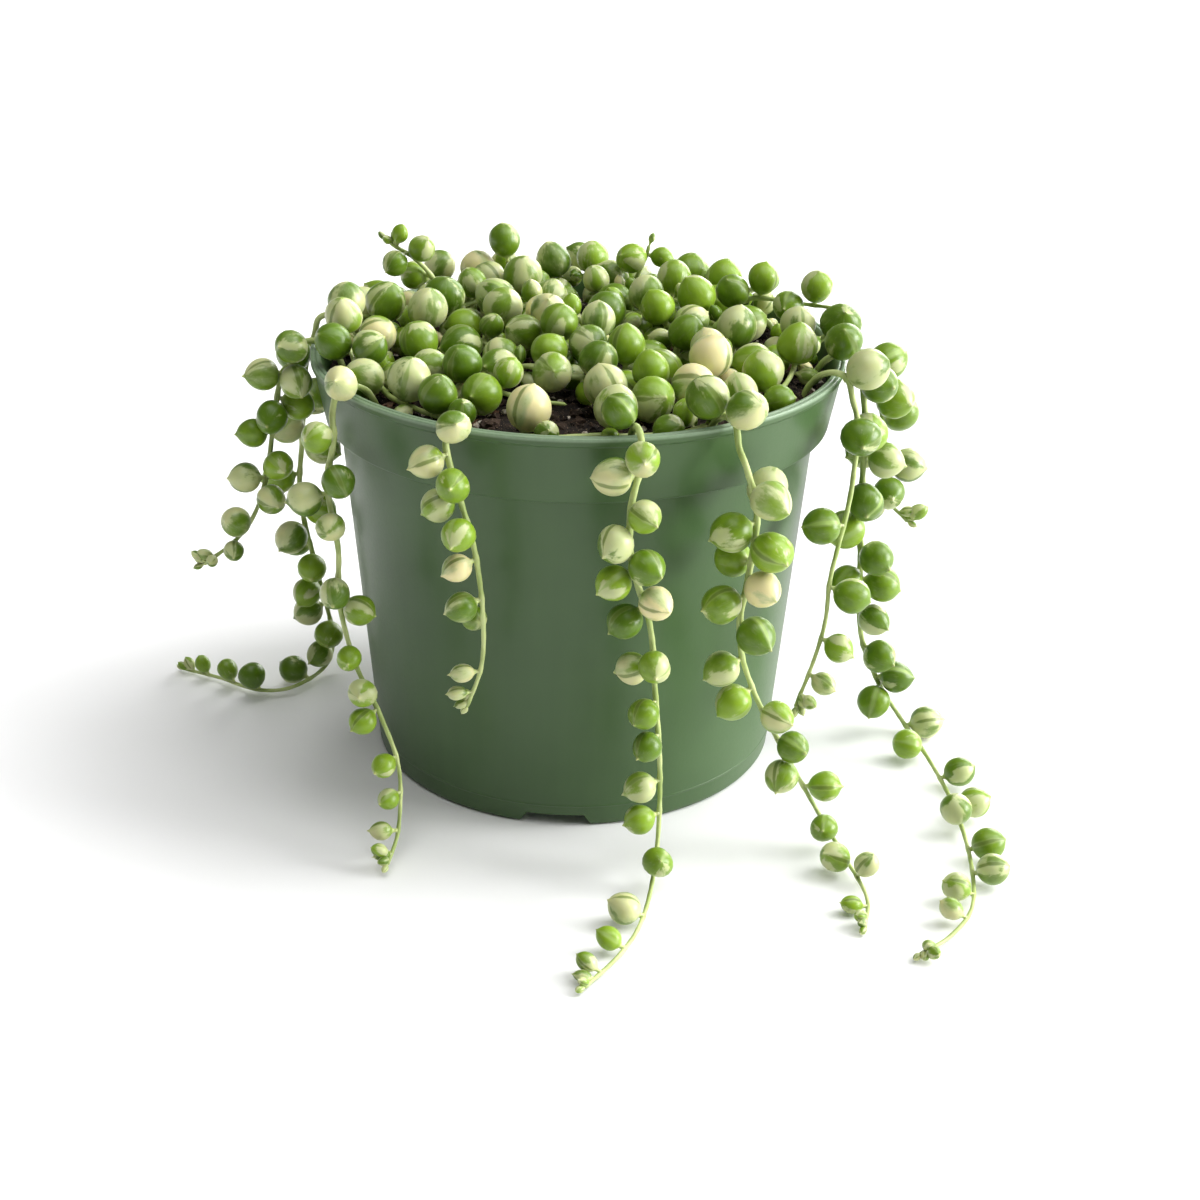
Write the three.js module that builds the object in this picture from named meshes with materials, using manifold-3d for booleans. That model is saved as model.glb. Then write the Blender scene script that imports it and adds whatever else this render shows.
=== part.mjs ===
// Potted string of pearls: a trailing succulent in a round plastic grower pot.
// Millimetres, +Z up. The origin is the middle of the pot's underside, on the
// surface that the pot stands on. The photograph's viewer looks along +Y.
import * as THREE from 'three';
import { mergeVertices } from 'three/addons/utils/BufferGeometryUtils.js';
import Module from 'manifold-3d';

const wasm = await Module();
wasm.setup();

// ---------------------------------------------------------------- driving sizes
const POT_HEIGHT = 87.5;
const RIM_RADIUS = 54;
const BAND_HEIGHT = 13.5;
const BAND_RADIUS = 51.4;
const BODY_TOP_RADIUS = 48.7;
const FOOT_RADIUS = 43;
const WALL = 1.4;
const LIP_WIDTH = 1.8;
const LIP_ROUND = 0.4;
const LIP_FLARE = 0.8;
const BASE_RECESS = 3;
const BASE_PAD_RADIUS = 12;
const FOOT_RING_WIDTH = 3.5;
const NOTCH = { count: 4, width: 11.6, height: 2.6, firstAngle: -94.7 };
const DRAIN = { count: 6, radius: 4, circle: 26 };
const SOIL_DEPTH_BELOW_RIM = 5.7;

const STEM_RADIUS = 0.75;
const STEM_TIP_RADIUS = 0.4;
const ROOT_DEPTH = 3;
const OVER_RIM_LENGTH = 11;
const PEDICEL = 1.1;
const PEARL_POINT = 0.8;
const PEARL_LEAN = 0.25;
const STRAIGHT_ON = 50;
const GAP = 0.35;
const OWN_GAP = 0.05;

const POT_SIDES = 40;
const SOIL_SIDES = 30;
const PEARL_SIDES = 5;
const STEM_SIDES = 3;
const STEM_STEP = 4.6;
const SCORE_STEP = 2.5;
const TIP_STARTS = 0.86;

const SOIL_TOP = POT_HEIGHT - SOIL_DEPTH_BELOW_RIM;
const BAND_BOTTOM = POT_HEIGHT - BAND_HEIGHT;
const STRAND_ROOT_RADIUS = 47.6;
const MOUTH_RADIUS = RIM_RADIUS - LIP_WIDTH - LIP_FLARE;
const SOIL_RADIUS = MOUTH_RADIUS - 0.9;

// The pot's wall from the foot, over the rim, down to the soil and in to the axis.
const AIR_SIDE = [
  [FOOT_RADIUS, 0],
  [BODY_TOP_RADIUS, BAND_BOTTOM],
  [BAND_RADIUS, BAND_BOTTOM],
  [RIM_RADIUS, POT_HEIGHT],
  [RIM_RADIUS - LIP_WIDTH, POT_HEIGHT],
  [MOUTH_RADIUS, POT_HEIGHT - 2 * LIP_FLARE],
  [SOIL_RADIUS, SOIL_TOP],
  [0, SOIL_TOP],
];

// ---------------------------------------------------------------- small helpers
const radians = (degrees) => (degrees * Math.PI) / 180;
const mix = (a, b, t) => a + (b - a) * t;
const vector = ([x, y, z]) => new THREE.Vector3(x, y, z);
const polar = (angle, radius, z) => [
  radius * Math.cos(radians(angle)),
  radius * Math.sin(radians(angle)),
  z,
];

function seededRandom(seed) {
  let state = seed;
  return () => {
    state = (state * 16807) % 2147483647;
    return state / 2147483647;
  };
}

function solidFrom(geometry) {
  const bare = geometry.index ? geometry : geometry.clone();
  bare.deleteAttribute('normal');
  bare.deleteAttribute('uv');
  const merged = mergeVertices(bare, 1e-4);
  const corners = merged.index.array;
  const kept = [];
  for (let i = 0; i < corners.length; i += 3) {
    const [a, b, c] = [corners[i], corners[i + 1], corners[i + 2]];
    if (a !== b && b !== c && c !== a) kept.push(a, b, c);
  }
  const mesh = new wasm.Mesh({
    numProp: 3,
    vertProperties: new Float32Array(merged.attributes.position.array),
    triVerts: new Uint32Array(kept),
  });
  return new wasm.Manifold(mesh);
}

function geometryFrom(solid) {
  const mesh = solid.getMesh();
  const geometry = new THREE.BufferGeometry();
  geometry.setAttribute('position', new THREE.BufferAttribute(mesh.vertProperties, 3));
  geometry.setIndex(new THREE.BufferAttribute(mesh.triVerts, 1));
  geometry.computeVertexNormals();
  return geometry;
}

// A turned solid about +Z from [radius, height] points.
function turned(outline, sides) {
  const points = outline.map(([r, z]) => new THREE.Vector2(r, z));
  const geometry = new THREE.LatheGeometry(points, sides);
  geometry.rotateX(Math.PI / 2);
  return geometry;
}

const group = new THREE.Group();

function addPart(name, solid, { color, roughness }) {
  const material = new THREE.MeshStandardMaterial({ color, roughness, metalness: 0 });
  const mesh = new THREE.Mesh(geometryFrom(solid), material);
  mesh.name = name;
  group.add(mesh);
}

// ---------------------------------------------------------------- pot and soil
function makePot() {
  const floorTop = BASE_RECESS + WALL;
  const outline = [
    [0, 0],
    [BASE_PAD_RADIUS, 0],
    [BASE_PAD_RADIUS + 1, BASE_RECESS],
    [FOOT_RADIUS - FOOT_RING_WIDTH - 1, BASE_RECESS],
    [FOOT_RADIUS - FOOT_RING_WIDTH, 0],
    [FOOT_RADIUS, 0],
    [BODY_TOP_RADIUS, BAND_BOTTOM],
    [BAND_RADIUS, BAND_BOTTOM],
    [RIM_RADIUS - LIP_ROUND, POT_HEIGHT - 3.5 * LIP_ROUND],
    [RIM_RADIUS, POT_HEIGHT - 2 * LIP_ROUND],
    [RIM_RADIUS - LIP_ROUND, POT_HEIGHT],
    [RIM_RADIUS - LIP_WIDTH, POT_HEIGHT],
    [MOUTH_RADIUS, POT_HEIGHT - 2 * LIP_FLARE],
    [BAND_RADIUS - WALL - 0.9, BAND_BOTTOM + 1],
    [BODY_TOP_RADIUS - WALL, BAND_BOTTOM - 1],
    [FOOT_RADIUS - WALL + 0.3, floorTop],
    [0, floorTop],
  ];
  let pot = solidFrom(turned(outline, POT_SIDES));
  for (let i = 0; i < NOTCH.count; i += 1) {
    const angle = NOTCH.firstAngle + (360 / NOTCH.count) * i;
    const notch = new THREE.BoxGeometry(FOOT_RING_WIDTH + 4, NOTCH.width, NOTCH.height * 2);
    notch.translate(FOOT_RADIUS - FOOT_RING_WIDTH / 2 + 0.2, 0, 0);
    notch.rotateZ(radians(angle));
    pot = pot.subtract(solidFrom(notch));
  }
  for (let i = 0; i < DRAIN.count; i += 1) {
    const hole = new THREE.CylinderGeometry(DRAIN.radius, DRAIN.radius, WALL * 4, 10);
    hole.rotateX(Math.PI / 2);
    hole.translate(...polar((360 / DRAIN.count) * (i + 0.5), DRAIN.circle, BASE_RECESS));
    pot = pot.subtract(solidFrom(hole));
  }
  return pot;
}

function makeSoil(roots) {
  const bottom = BASE_RECESS + WALL + GAP;
  const slack = WALL + GAP;
  const outline = [
    [0, bottom],
    [FOOT_RADIUS - slack, bottom],
    [BODY_TOP_RADIUS - slack - 0.2, BAND_BOTTOM - 1],
    [BAND_RADIUS - slack - 1.1, BAND_BOTTOM + 1.4],
    [BAND_RADIUS - slack - 0.2, SOIL_TOP - 0.8],
    [BAND_RADIUS - slack - 1.2, SOIL_TOP],
    [0, SOIL_TOP],
  ];
  let soil = solidFrom(turned(outline, SOIL_SIDES));
  for (const [x, y] of roots) {
    const radius = STEM_RADIUS + GAP + 0.1;
    const hole = new THREE.CylinderGeometry(radius, radius, (ROOT_DEPTH + 0.6) * 2, 5);
    hole.rotateX(Math.PI / 2);
    hole.translate(x, y, SOIL_TOP);
    soil = soil.subtract(solidFrom(hole));
  }
  return soil;
}

// ---------------------------------------------------------------- stems
// Which way a letter in a strand's score points its pearl, before the stem's own
// direction is taken out of it: left, right, half left, half right, front, back, up.
// T is the pearl that ends the stem and points the way the stem runs.
const SIDES = {
  L: [-1, -0.3, 0.1],
  R: [1, -0.3, 0.1],
  l: [-0.6, -0.8, 0.1],
  r: [0.6, -0.8, 0.1],
  F: [0, -1, 0.1],
  B: [0, 1, 0.1],
  U: [0, -0.3, 1],
  T: [0, -0.3, 1],
};

// Trailing strands, in order round the pot. rim is the angle at which the strand
// crosses the rim; fall lists the points it passes after that, hand-chosen along
// the photograph's strands (the three back ones hang behind the pot, out of its view).
// score has one sign for each SCORE_STEP of stem from the rim on, a dot for none.
// size gives the pearls' diameter at the root, before the tip and at the tip.
const STRANDS = [
  {
    name: 'strand_front_left', rim: -114, size: [7.2, 4.8, 3.2],
    fall: [[-20.5, -56.5, 76], [-18, -57.3, 66], [-16.8, -57.6, 54], [-17.2, -57.5, 44], [-20, -56.6, 35]],
    score: '..F.L.FL.L..L..L.L...L.LL',
  },
  {
    name: 'strand_front_middle', rim: -78.5, size: [6.9, 5.8, 3.6],
    fall: [[9.6, -58.8, 76], [10, -59, 66], [13.7, -58.4, 53], [15, -58.2, 40], [16.4, -58, 24],
      [16.6, -58.6, 10], [15.4, -66, 2.6], [12.8, -79, 2], [8.8, -88, 1.6], [2.6, -96.6, 1]],
    score: 'LR.F.l.r.l.rl.rL...FL..l..l...L..L...F.L...L...L..L.',
  },
  {
    name: 'strand_front_right', rim: -59.5, size: [8.4, 5.4, 3.6],
    fall: [[30.6, -51.6, 81], [32.9, -50.2, 72], [32.2, -50.6, 62], [30.8, -51.4, 48], [34.4, -50, 35],
      [42, -49.6, 20], [49.5, -48.6, 6], [53.4, -56, 2], [56, -69, 1.6], [54.6, -78, 1]],
    score: 'Lr.....rR.Lr.lr.l.r..L..L.r..r.l..R...F...l.l...l..',
  },
  {
    name: 'strand_right_inner', rim: -22, size: [8.6, 6, 3.4],
    fall: [[54.6, -21.5, 79], [54.2, -24, 70], [53.2, -26.4, 63.5], [51.6, -29, 57], [50, -31.6, 50],
      [49.4, -33.6, 42], [47.2, -36, 34], [43.8, -40.6, 27]],
    score: 'F.R...F.......L....R...R..R.r',
  },
  {
    name: 'strand_right_long', rim: -9, size: [8.2, 6, 3.4],
    fall: [[57.6, -12, 76], [58.4, -10, 62], [59.6, -8, 45], [61.5, -6, 26], [67, -2, 12], [72.6, -3, 3.4],
      [76.4, -20, 2.4], [78.2, -38, 2.4], [78, -56, 2.4], [75.6, -72, 2], [70, -81, 1.6], [63.6, -86, 1]],
    score: '.F..r..F..R..F..F..r.FR..r...r...Rl....R...F....R....r.R...r..R..L..L....l',
  },
  {
    name: 'strand_right_back', rim: 6, size: [8.6, 7.4, 4.4],
    fall: [[61, 7, 80], [64, 7, 72], [65.4, 5, 62], [66, 3, 54], [70.4, 1, 49.4]],
    score: '.R..F.r.r.R.L.R.FLl.R',
  },
  {
    name: 'strand_back_right', rim: 44, size: [7, 4.4, 2.4],
    fall: [[41.8, 42.6, 76], [42.6, 44, 60], [44.6, 45, 44], [50, 48, 33]],
    score: '.R..B.R..L.B..R.B..L.R..B',
  },
  {
    name: 'strand_back_middle', rim: 86, size: [7, 4.8, 2.6],
    fall: [[4.4, 59.4, 76], [6, 60, 60], [3.6, 60.4, 42], [6, 61, 26], [10, 65, 14]],
    score: '.B..R.L..B.R..B.L..R.B..L.R..B.L',
  },
  {
    name: 'strand_back_left', rim: 130, size: [7.2, 4.6, 2.4],
    fall: [[-38.4, 45.4, 76], [-39.8, 46.4, 60], [-38, 47.6, 44], [-41, 49.4, 28], [-45.4, 53, 17]],
    score: '.B..L.R..B.L..B.R..L.B..L.R..B',
  },
  {
    name: 'strand_left_back', rim: 166, size: [8.4, 5.6, 3.6],
    fall: [[-58, 13.4, 76], [-59.2, 13, 62], [-60.2, 12, 48], [-58, 15, 30], [-56, 20, 12], [-57.6, 20.4, 3],
      [-64, 11, 2], [-72, 10, 1.6], [-82, 16, 1.4], [-90.6, 20.6, 1]],
    score: '..R..l..r..l.R..L..R.l.LF..l..L.F..l....U....U..U..U',
  },
  {
    name: 'strand_left_far', rim: 185, size: [7.4, 5.6, 2.8],
    fall: [[-59.8, -5, 82], [-62, -6, 71], [-63.4, -8, 62], [-66, -10, 54], [-70, -12, 48.6],
      [-76.4, -14, 44]],
    score: '..l.Fl.rF.L.r.Lr..l.l.FL',
  },
  {
    name: 'strand_left_front', rim: 217, size: [6.9, 5, 3.8],
    fall: [[-45.4, -37.4, 80], [-47, -37, 71], [-45.2, -39.4, 59], [-45.6, -38.8, 48], [-42.6, -42, 36],
      [-37.6, -46.4, 27], [-34, -49.6, 17], [-34, -54, 6], [-35.6, -60.4, 2]],
    score: '.F...l..r.L.F....F.R...F..F.l...l..l..L.l',
  },
];

// Shoots that stand up out of the crown: root on the soil, then the points above it.
const SHOOTS = [
  {
    name: 'shoot_back_left', size: [7.6, 5.4, 3], root: [-29, 24.6],
    rise: [[-29.2, 24.4, 88], [-31, 23.6, 94], [-34.6, 22.6, 98.6], [-38.6, 22, 101.4], [-40.6, 22, 102.8]],
    score: '..F.L.RFU',
  },
  {
    name: 'shoot_back', size: [7, 7.8, 7.8], root: [-14.6, 35],
    rise: [[-14.8, 35.4, 88], [-15.4, 36.4, 92], [-15.8, 37, 94.4]],
    score: '..T',
  },
  {
    name: 'shoot_back_middle', size: [7.4, 7, 2.2], root: [10, 36.6],
    rise: [[10.6, 36.4, 88], [13, 35.6, 93], [14.4, 35, 96.6], [15, 35, 98.8]],
    score: '.LR.LR.T',
  },
  {
    name: 'shoot_right', size: [7.4, 7, 6.6], root: [31, 22.6],
    rise: [[32, 22.4, 88], [37, 21.6, 91.6], [45, 19.6, 91.4], [53, 14, 92]],
    score: '..L.U..F.U.F',
  },
  {
    name: 'shoot_left', size: [8.4, 7.4, 6.6], root: [-38, 9],
    rise: [[-38.6, 8.8, 87.6], [-43, 8, 90.2], [-46.6, 4, 90.8], [-47, -3, 91], [-45.6, -10, 90.4],
      [-43.6, -16.4, 88.8]],
    score: '..U.r.U..U..l.U.lU',
  },
];

// Creeping stems fill the pot in rings, each ring shared by some stems in a row.
const CROWN_RINGS = [
  { radius: 8, stems: 1, turn: 40 },
  { radius: 19.6, stems: 3, turn: 100 },
  { radius: 31.6, stems: 4, turn: 10 },
  { radius: 44.2, stems: 6, turn: -105 },
];
// Its big pearls come first, and small ones where there is room between them.
const CROWN_PASSES = [
  { pitch: 3.8, size: [7.2, 8.8] },
  { pitch: 3, size: [5.2, 6.6] },
];

// [x, y, radius] of the bare patches in the crown, where the soil shows.
const CLEARINGS = [
  [-1, -43, 6.2],
  [-5.5, -35, 7],
  [-13, -36, 4.5],
  [44, -19, 7.8],
];

// How high a creeping stem runs over the soil: a low mound, fuller at the back.
function crownLift(x, y) {
  const fromAxis = Math.hypot(x, y) / STRAND_ROOT_RADIUS;
  const ripple = 0.8 * Math.sin(x / 6 + 1) * Math.cos(y / 7);
  return 4 + 4 * (1 - fromAxis * fromAxis) + (2.4 * y) / STRAND_ROOT_RADIUS + ripple;
}

function overTheRim(angle) {
  return [
    polar(angle, STRAND_ROOT_RADIUS, SOIL_TOP - ROOT_DEPTH),
    polar(angle, STRAND_ROOT_RADIUS, SOIL_TOP + 1.5),
    polar(angle, STRAND_ROOT_RADIUS + 2, POT_HEIGHT - 0.2),
    polar(angle, RIM_RADIUS - 1.2, POT_HEIGHT + 1.6),
    polar(angle, RIM_RADIUS + 2, POT_HEIGHT + 0.8),
    polar(angle, RIM_RADIUS + 3.3, POT_HEIGHT - 3),
  ];
}

function crownRoute(ring, index) {
  const share = 360 / ring.stems;
  const clearance = (8 / ring.radius) * (180 / Math.PI);
  const start = ring.turn + share * index;
  const span = Math.max(share - clearance, share * 0.55);
  const steps = Math.max(4, Math.round((radians(span) * ring.radius) / 7));
  const route = [
    polar(start, ring.radius, SOIL_TOP - ROOT_DEPTH),
    polar(start, ring.radius, SOIL_TOP + 1.5),
  ];
  for (let i = 1; i <= steps; i += 1) {
    const angle = start + (span * i) / steps;
    const radius = ring.radius + 0.8 * Math.sin(radians(3 * angle) + ring.radius);
    const [x, y] = polar(angle, radius, 0);
    route.push([x, y, SOIL_TOP + crownLift(x, y)]);
  }
  return route;
}

// ---------------------------------------------------------------- pearls
// A stem is its name, its evenly spaced points and the pearls on it.
function makeStem(name, route) {
  const curve = new THREE.CatmullRomCurve3(route.map(vector), false, 'catmullrom', 0.5);
  curve.arcLengthDivisions = 600;
  const length = curve.getLength();
  const spine = curve.getSpacedPoints(Math.max(5, Math.round(length / STEM_STEP)));
  return { name, curve, length, spine, points: curve.getSpacedPoints(Math.round(length)), pearls: [] };
}

// The place on the stem's spine at a share t of its length, and the way it runs there.
function spineAt({ spine }, t) {
  const last = spine.length - 1;
  const i = Math.min(last - 1, Math.floor(t * last));
  const place = spine[i].clone().lerp(spine[i + 1], t * last - i);
  const tangent = spine[i + 1].clone().sub(spine[i]).normalize();
  return { place, tangent };
}

function distanceToPot(point) {
  const [r, z] = [Math.hypot(point.x, point.y), point.z];
  let nearest = Infinity;
  for (let i = 1; i < AIR_SIDE.length; i += 1) {
    const [[r0, z0], [r1, z1]] = [AIR_SIDE[i - 1], AIR_SIDE[i]];
    const along = ((r - r0) * (r1 - r0) + (z - z0) * (z1 - z0)) / ((r1 - r0) ** 2 + (z1 - z0) ** 2);
    const t = Math.min(1, Math.max(0, along));
    nearest = Math.min(nearest, Math.hypot(r - mix(r0, r1, t), z - mix(z0, z1, t)));
  }
  return nearest;
}

function inClearing({ x, y }) {
  return CLEARINGS.some(([left, front, reach]) => Math.hypot(x - left, y - front) < reach);
}

// Whether a pearl has room beside the surface, the pot, and all stems and pearls.
function hasRoom(pearl, own, stems) {
  if (inClearing(pearl.center)) return false;
  if (pearl.center.z < pearl.radius + OWN_GAP || pearl.tip.z < OWN_GAP) return false;
  if (distanceToPot(pearl.center) < pearl.radius + GAP) return false;
  if (distanceToPot(pearl.tip) < GAP) return false;
  for (const stem of stems) {
    const gap = stem === own ? OWN_GAP : GAP;
    for (const other of stem.pearls) {
      if (other.center.distanceTo(pearl.center) < other.radius + pearl.radius + gap) return false;
      if (other.center.distanceTo(pearl.tip) < other.radius + gap) return false;
      if (other.tip.distanceTo(pearl.center) < pearl.radius + gap) return false;
    }
    if (stem === own) continue;
    const reach = pearl.radius + STEM_RADIUS + GAP;
    for (const point of stem.points) {
      if (point.distanceTo(pearl.center) < reach) return false;
    }
  }
  return true;
}

// A pearl of the given radius whose stalk leaves the stem at a distance along it,
// square to the stem but for a slight lean towards its tip. One at the very tip
// points straight on.
function pearlAt(stem, along, side, radius) {
  const { place: base, tangent } = spineAt(stem, along / stem.length);
  const axis = side.clone().addScaledVector(tangent, -side.dot(tangent)).normalize();
  axis.addScaledVector(tangent, along < stem.length ? PEARL_LEAN : STRAIGHT_ON).normalize();
  const center = base.clone().addScaledVector(axis, radius + PEDICEL);
  const tip = center.clone().addScaledVector(axis, radius + PEARL_POINT);
  return { base, axis, radius, center, tip };
}

const TURNS_TO_TRY = [0, 24, -24, 48, -48, 75, -75, 105, -105];

function tryPearl(stem, along, side, radius, stems) {
  const { tangent } = spineAt(stem, along / stem.length);
  for (const turn of TURNS_TO_TRY) {
    const turned = side.clone().applyAxisAngle(tangent, radians(turn));
    const pearl = pearlAt(stem, along, turned, radius);
    if (hasRoom(pearl, stem, stems)) {
      stem.pearls.push(pearl);
      return;
    }
  }
}

// Pearls shrink slowly along a stem, and quickly over its last stretch.
function pearlRadius([first, last, tip], t, random) {
  const nearTip = Math.max(0, (t - TIP_STARTS) / (1 - TIP_STARTS));
  return 0.5 * mix(mix(first, last, t), tip, nearTip) * mix(0.93, 1.07, random());
}

function hangPearls(stem, { score, size }, firstAt, stems, random) {
  [...score].forEach((sign, i) => {
    const place = firstAt + SCORE_STEP * i + mix(-0.4, 0.4, random());
    const along = sign === 'T' ? stem.length : Math.min(place, stem.length - 0.5);
    const radius = pearlRadius(size, along / stem.length, random);
    if (sign === '.') return;
    tryPearl(stem, along, vector(SIDES[sign]), radius, stems);
  });
}

function fillCrownStem(stem, { pitch, size }, stems, random) {
  const first = ROOT_DEPTH + 4;
  const count = Math.floor((stem.length - first) / pitch) + 1;
  for (let i = 0; i < count; i += 1) {
    const along = first + pitch * i + mix(-0.8, 0.8, random());
    const lean = radians(100 * (((i * 0.618) % 1) * 2 - 1));
    const around = Math.atan2(stem.points[0].y, stem.points[0].x) + along / 20;
    const side = new THREE.Vector3(
      Math.sin(lean) * Math.cos(around),
      Math.sin(lean) * Math.sin(around),
      Math.cos(lean),
    );
    const radius = 0.5 * mix(size[0], size[1], random());
    tryPearl(stem, Math.min(along, stem.length - 0.5), side, radius, stems);
  }
}

// ---------------------------------------------------------------- solids
// A tapered tube along the stem: a cylinder's rings moved onto the curve.
function stemSolid(stem) {
  const steps = stem.spine.length - 1;
  const frames = stem.curve.computeFrenetFrames(steps, false);
  const geometry = new THREE.CylinderGeometry(1, 1, 1, STEM_SIDES, steps, false);
  const position = geometry.attributes.position;
  for (let i = 0; i < position.count; i += 1) {
    const ring = Math.round((position.getY(i) + 0.5) * steps);
    const t = ring / steps;
    const radius = mix(STEM_RADIUS, STEM_TIP_RADIUS, t);
    const place = stem.spine[ring].clone();
    place.addScaledVector(frames.normals[ring], position.getX(i) * radius);
    place.addScaledVector(frames.binormals[ring], -position.getZ(i) * radius);
    position.setXYZ(i, place.x, place.y, place.z);
  }
  return solidFrom(geometry);
}

// A pearl is a turned berry on its stalk, pointed at the far end, rooted in the stem.
function pearlSolid({ base, axis, radius }) {
  const middle = radius + PEDICEL;
  const outline = [
    [0, -0.1],
    [radius * 0.92, middle - radius * 0.38],
    [radius * 0.88, middle + radius * 0.46],
    [0, middle + radius + PEARL_POINT],
  ];
  const geometry = turned(outline, PEARL_SIDES);
  const turn = new THREE.Quaternion().setFromUnitVectors(new THREE.Vector3(0, 0, 1), axis);
  geometry.applyQuaternion(turn);
  geometry.translate(base.x, base.y, base.z);
  return solidFrom(geometry);
}

function leafyStem(stem) {
  let solid = stemSolid(stem);
  for (const pearl of stem.pearls) solid = solid.add(pearlSolid(pearl));
  return solid;
}

// ---------------------------------------------------------------- the plant
const strands = STRANDS.map((strand) => (
  { ...strand, stem: makeStem(strand.name, [...overTheRim(strand.rim), ...strand.fall]) }
));
const shoots = SHOOTS.map((shoot) => {
  const [x, y] = shoot.root;
  const route = [[x, y, SOIL_TOP - ROOT_DEPTH], [x, y, SOIL_TOP + 1.5], ...shoot.rise];
  return { ...shoot, stem: makeStem(shoot.name, route) };
});
const creepers = CROWN_RINGS.flatMap((ring) => (
  Array.from({ length: ring.stems }, (_, index) => crownRoute(ring, index))
)).map((route, i) => makeStem(`creeping_stem_${String(i + 1).padStart(2, '0')}`, route));

const stems = [...strands, ...shoots].map((item) => item.stem).concat(creepers);

strands.forEach((strand, i) => {
  hangPearls(strand.stem, strand, OVER_RIM_LENGTH, stems, seededRandom(101 + i));
});
shoots.forEach((shoot, i) => {
  hangPearls(shoot.stem, shoot, ROOT_DEPTH + 4, stems, seededRandom(301 + i));
});
CROWN_PASSES.forEach((pass, turn) => {
  creepers.forEach((stem, i) => fillCrownStem(stem, pass, stems, seededRandom(501 + 100 * turn + i)));
});

addPart('pot', makePot(), { color: 0x4b7048, roughness: 0.5 });
addPart('soil', makeSoil(stems.map((stem) => stem.points[0].toArray())), { color: 0x2b211a, roughness: 1 });
stems.forEach((stem, i) => {
  const color = new THREE.Color().setHSL(mix(0.24, 0.28, (i * 0.618) % 1), 0.5, 0.42);
  addPart(stem.name, leafyStem(stem), { color, roughness: 0.45 });
});

export default group;
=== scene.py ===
# Looks of the potted string of pearls: pearls, stems, pot, soil and studio.
# Lengths are in millimetres, as in the solids' source, and MM turns them into metres.
from collections import namedtuple
from math import atan2, cos, hypot, pi, radians, sin, sqrt

import bmesh
import bpy
import numpy as np
from mathutils import Matrix, Vector, noise


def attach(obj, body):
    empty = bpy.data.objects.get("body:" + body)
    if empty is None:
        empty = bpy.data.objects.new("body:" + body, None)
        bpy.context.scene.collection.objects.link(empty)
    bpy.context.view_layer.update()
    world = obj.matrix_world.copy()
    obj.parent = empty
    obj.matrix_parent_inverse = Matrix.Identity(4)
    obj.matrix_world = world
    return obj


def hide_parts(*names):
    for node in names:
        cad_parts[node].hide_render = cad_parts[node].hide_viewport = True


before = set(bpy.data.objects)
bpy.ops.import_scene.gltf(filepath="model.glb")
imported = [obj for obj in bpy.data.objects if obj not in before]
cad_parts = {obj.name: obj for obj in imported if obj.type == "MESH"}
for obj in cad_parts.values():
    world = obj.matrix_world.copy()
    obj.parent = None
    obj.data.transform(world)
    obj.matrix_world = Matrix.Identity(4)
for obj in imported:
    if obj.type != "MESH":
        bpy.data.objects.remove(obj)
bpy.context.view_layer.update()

MM = 0.001

# ---- the solids' sizes
POT_HEIGHT = 87.5
RIM_RADIUS = 54
BAND_HEIGHT = 13.5
BAND_RADIUS = 51.4
BODY_TOP_RADIUS = 48.7
FOOT_RADIUS = 43
WALL = 1.4
LIP_WIDTH = 1.8
LIP_FLARE = 0.8
BASE_RECESS = 3
BASE_PAD_RADIUS = 12
FOOT_RING_WIDTH = 3.5
NOTCH_COUNT, NOTCH_WIDTH, NOTCH_HEIGHT, NOTCH_ANGLE = 4, 11.6, 2.6, -94.7
DRAIN_COUNT, DRAIN_RADIUS, DRAIN_CIRCLE = 6, 4, 26
SOIL_DEPTH_BELOW_RIM = 5.7

STEM_RADIUS = 0.75
ROOT_DEPTH = 3
OVER_RIM_LENGTH = 11
PEDICEL = 1.1  # a pearl's stalk
PEARL_POINT = 0.8
PEARL_LEAN = 0.25  # how far a pearl leans on towards its stem's end
STRAIGHT_ON = 50  # the same for a pearl that ends its stem
GAP = 0.35  # between the pearls of two stems, and to the pot
OWN_GAP = 0.05  # between the pearls of one stem, and to the surface below
STEM_STEP = 4.6  # length of one straight part of a solid stem
SCORE_STEP = 2.5  # length of stem for each letter of a score
SCORE_JITTER = 0.4
FIRST_PEARL = ROOT_DEPTH + 4  # length of stem from its root end to a first pearl
STEM_END = 0.5  # bare length at a stem's end
TIP_STARTS = 0.86  # share of a stem's length where its pearls begin to shrink
SIZE_SPREAD = (0.93, 1.07)
STRAND_SEED, SHOOT_SEED, CROWN_SEED = 101, 301, 501

SOIL_TOP = POT_HEIGHT - SOIL_DEPTH_BELOW_RIM
BAND_BOTTOM = POT_HEIGHT - BAND_HEIGHT
STRAND_ROOT_RADIUS = 47.6
MOUTH_RADIUS = RIM_RADIUS - LIP_WIDTH - LIP_FLARE
SOIL_RADIUS = MOUTH_RADIUS - 0.9
# [radius, height] round the pot and over the soil, which the pearls stay clear of.
AIR_SIDE = np.array([
    [FOOT_RADIUS, 0],
    [BODY_TOP_RADIUS, BAND_BOTTOM],
    [BAND_RADIUS, BAND_BOTTOM],
    [RIM_RADIUS, POT_HEIGHT],
    [RIM_RADIUS - LIP_WIDTH, POT_HEIGHT],
    [MOUTH_RADIUS, POT_HEIGHT - 2 * LIP_FLARE],
    [SOIL_RADIUS, SOIL_TOP],
    [0, SOIL_TOP],
])

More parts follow.
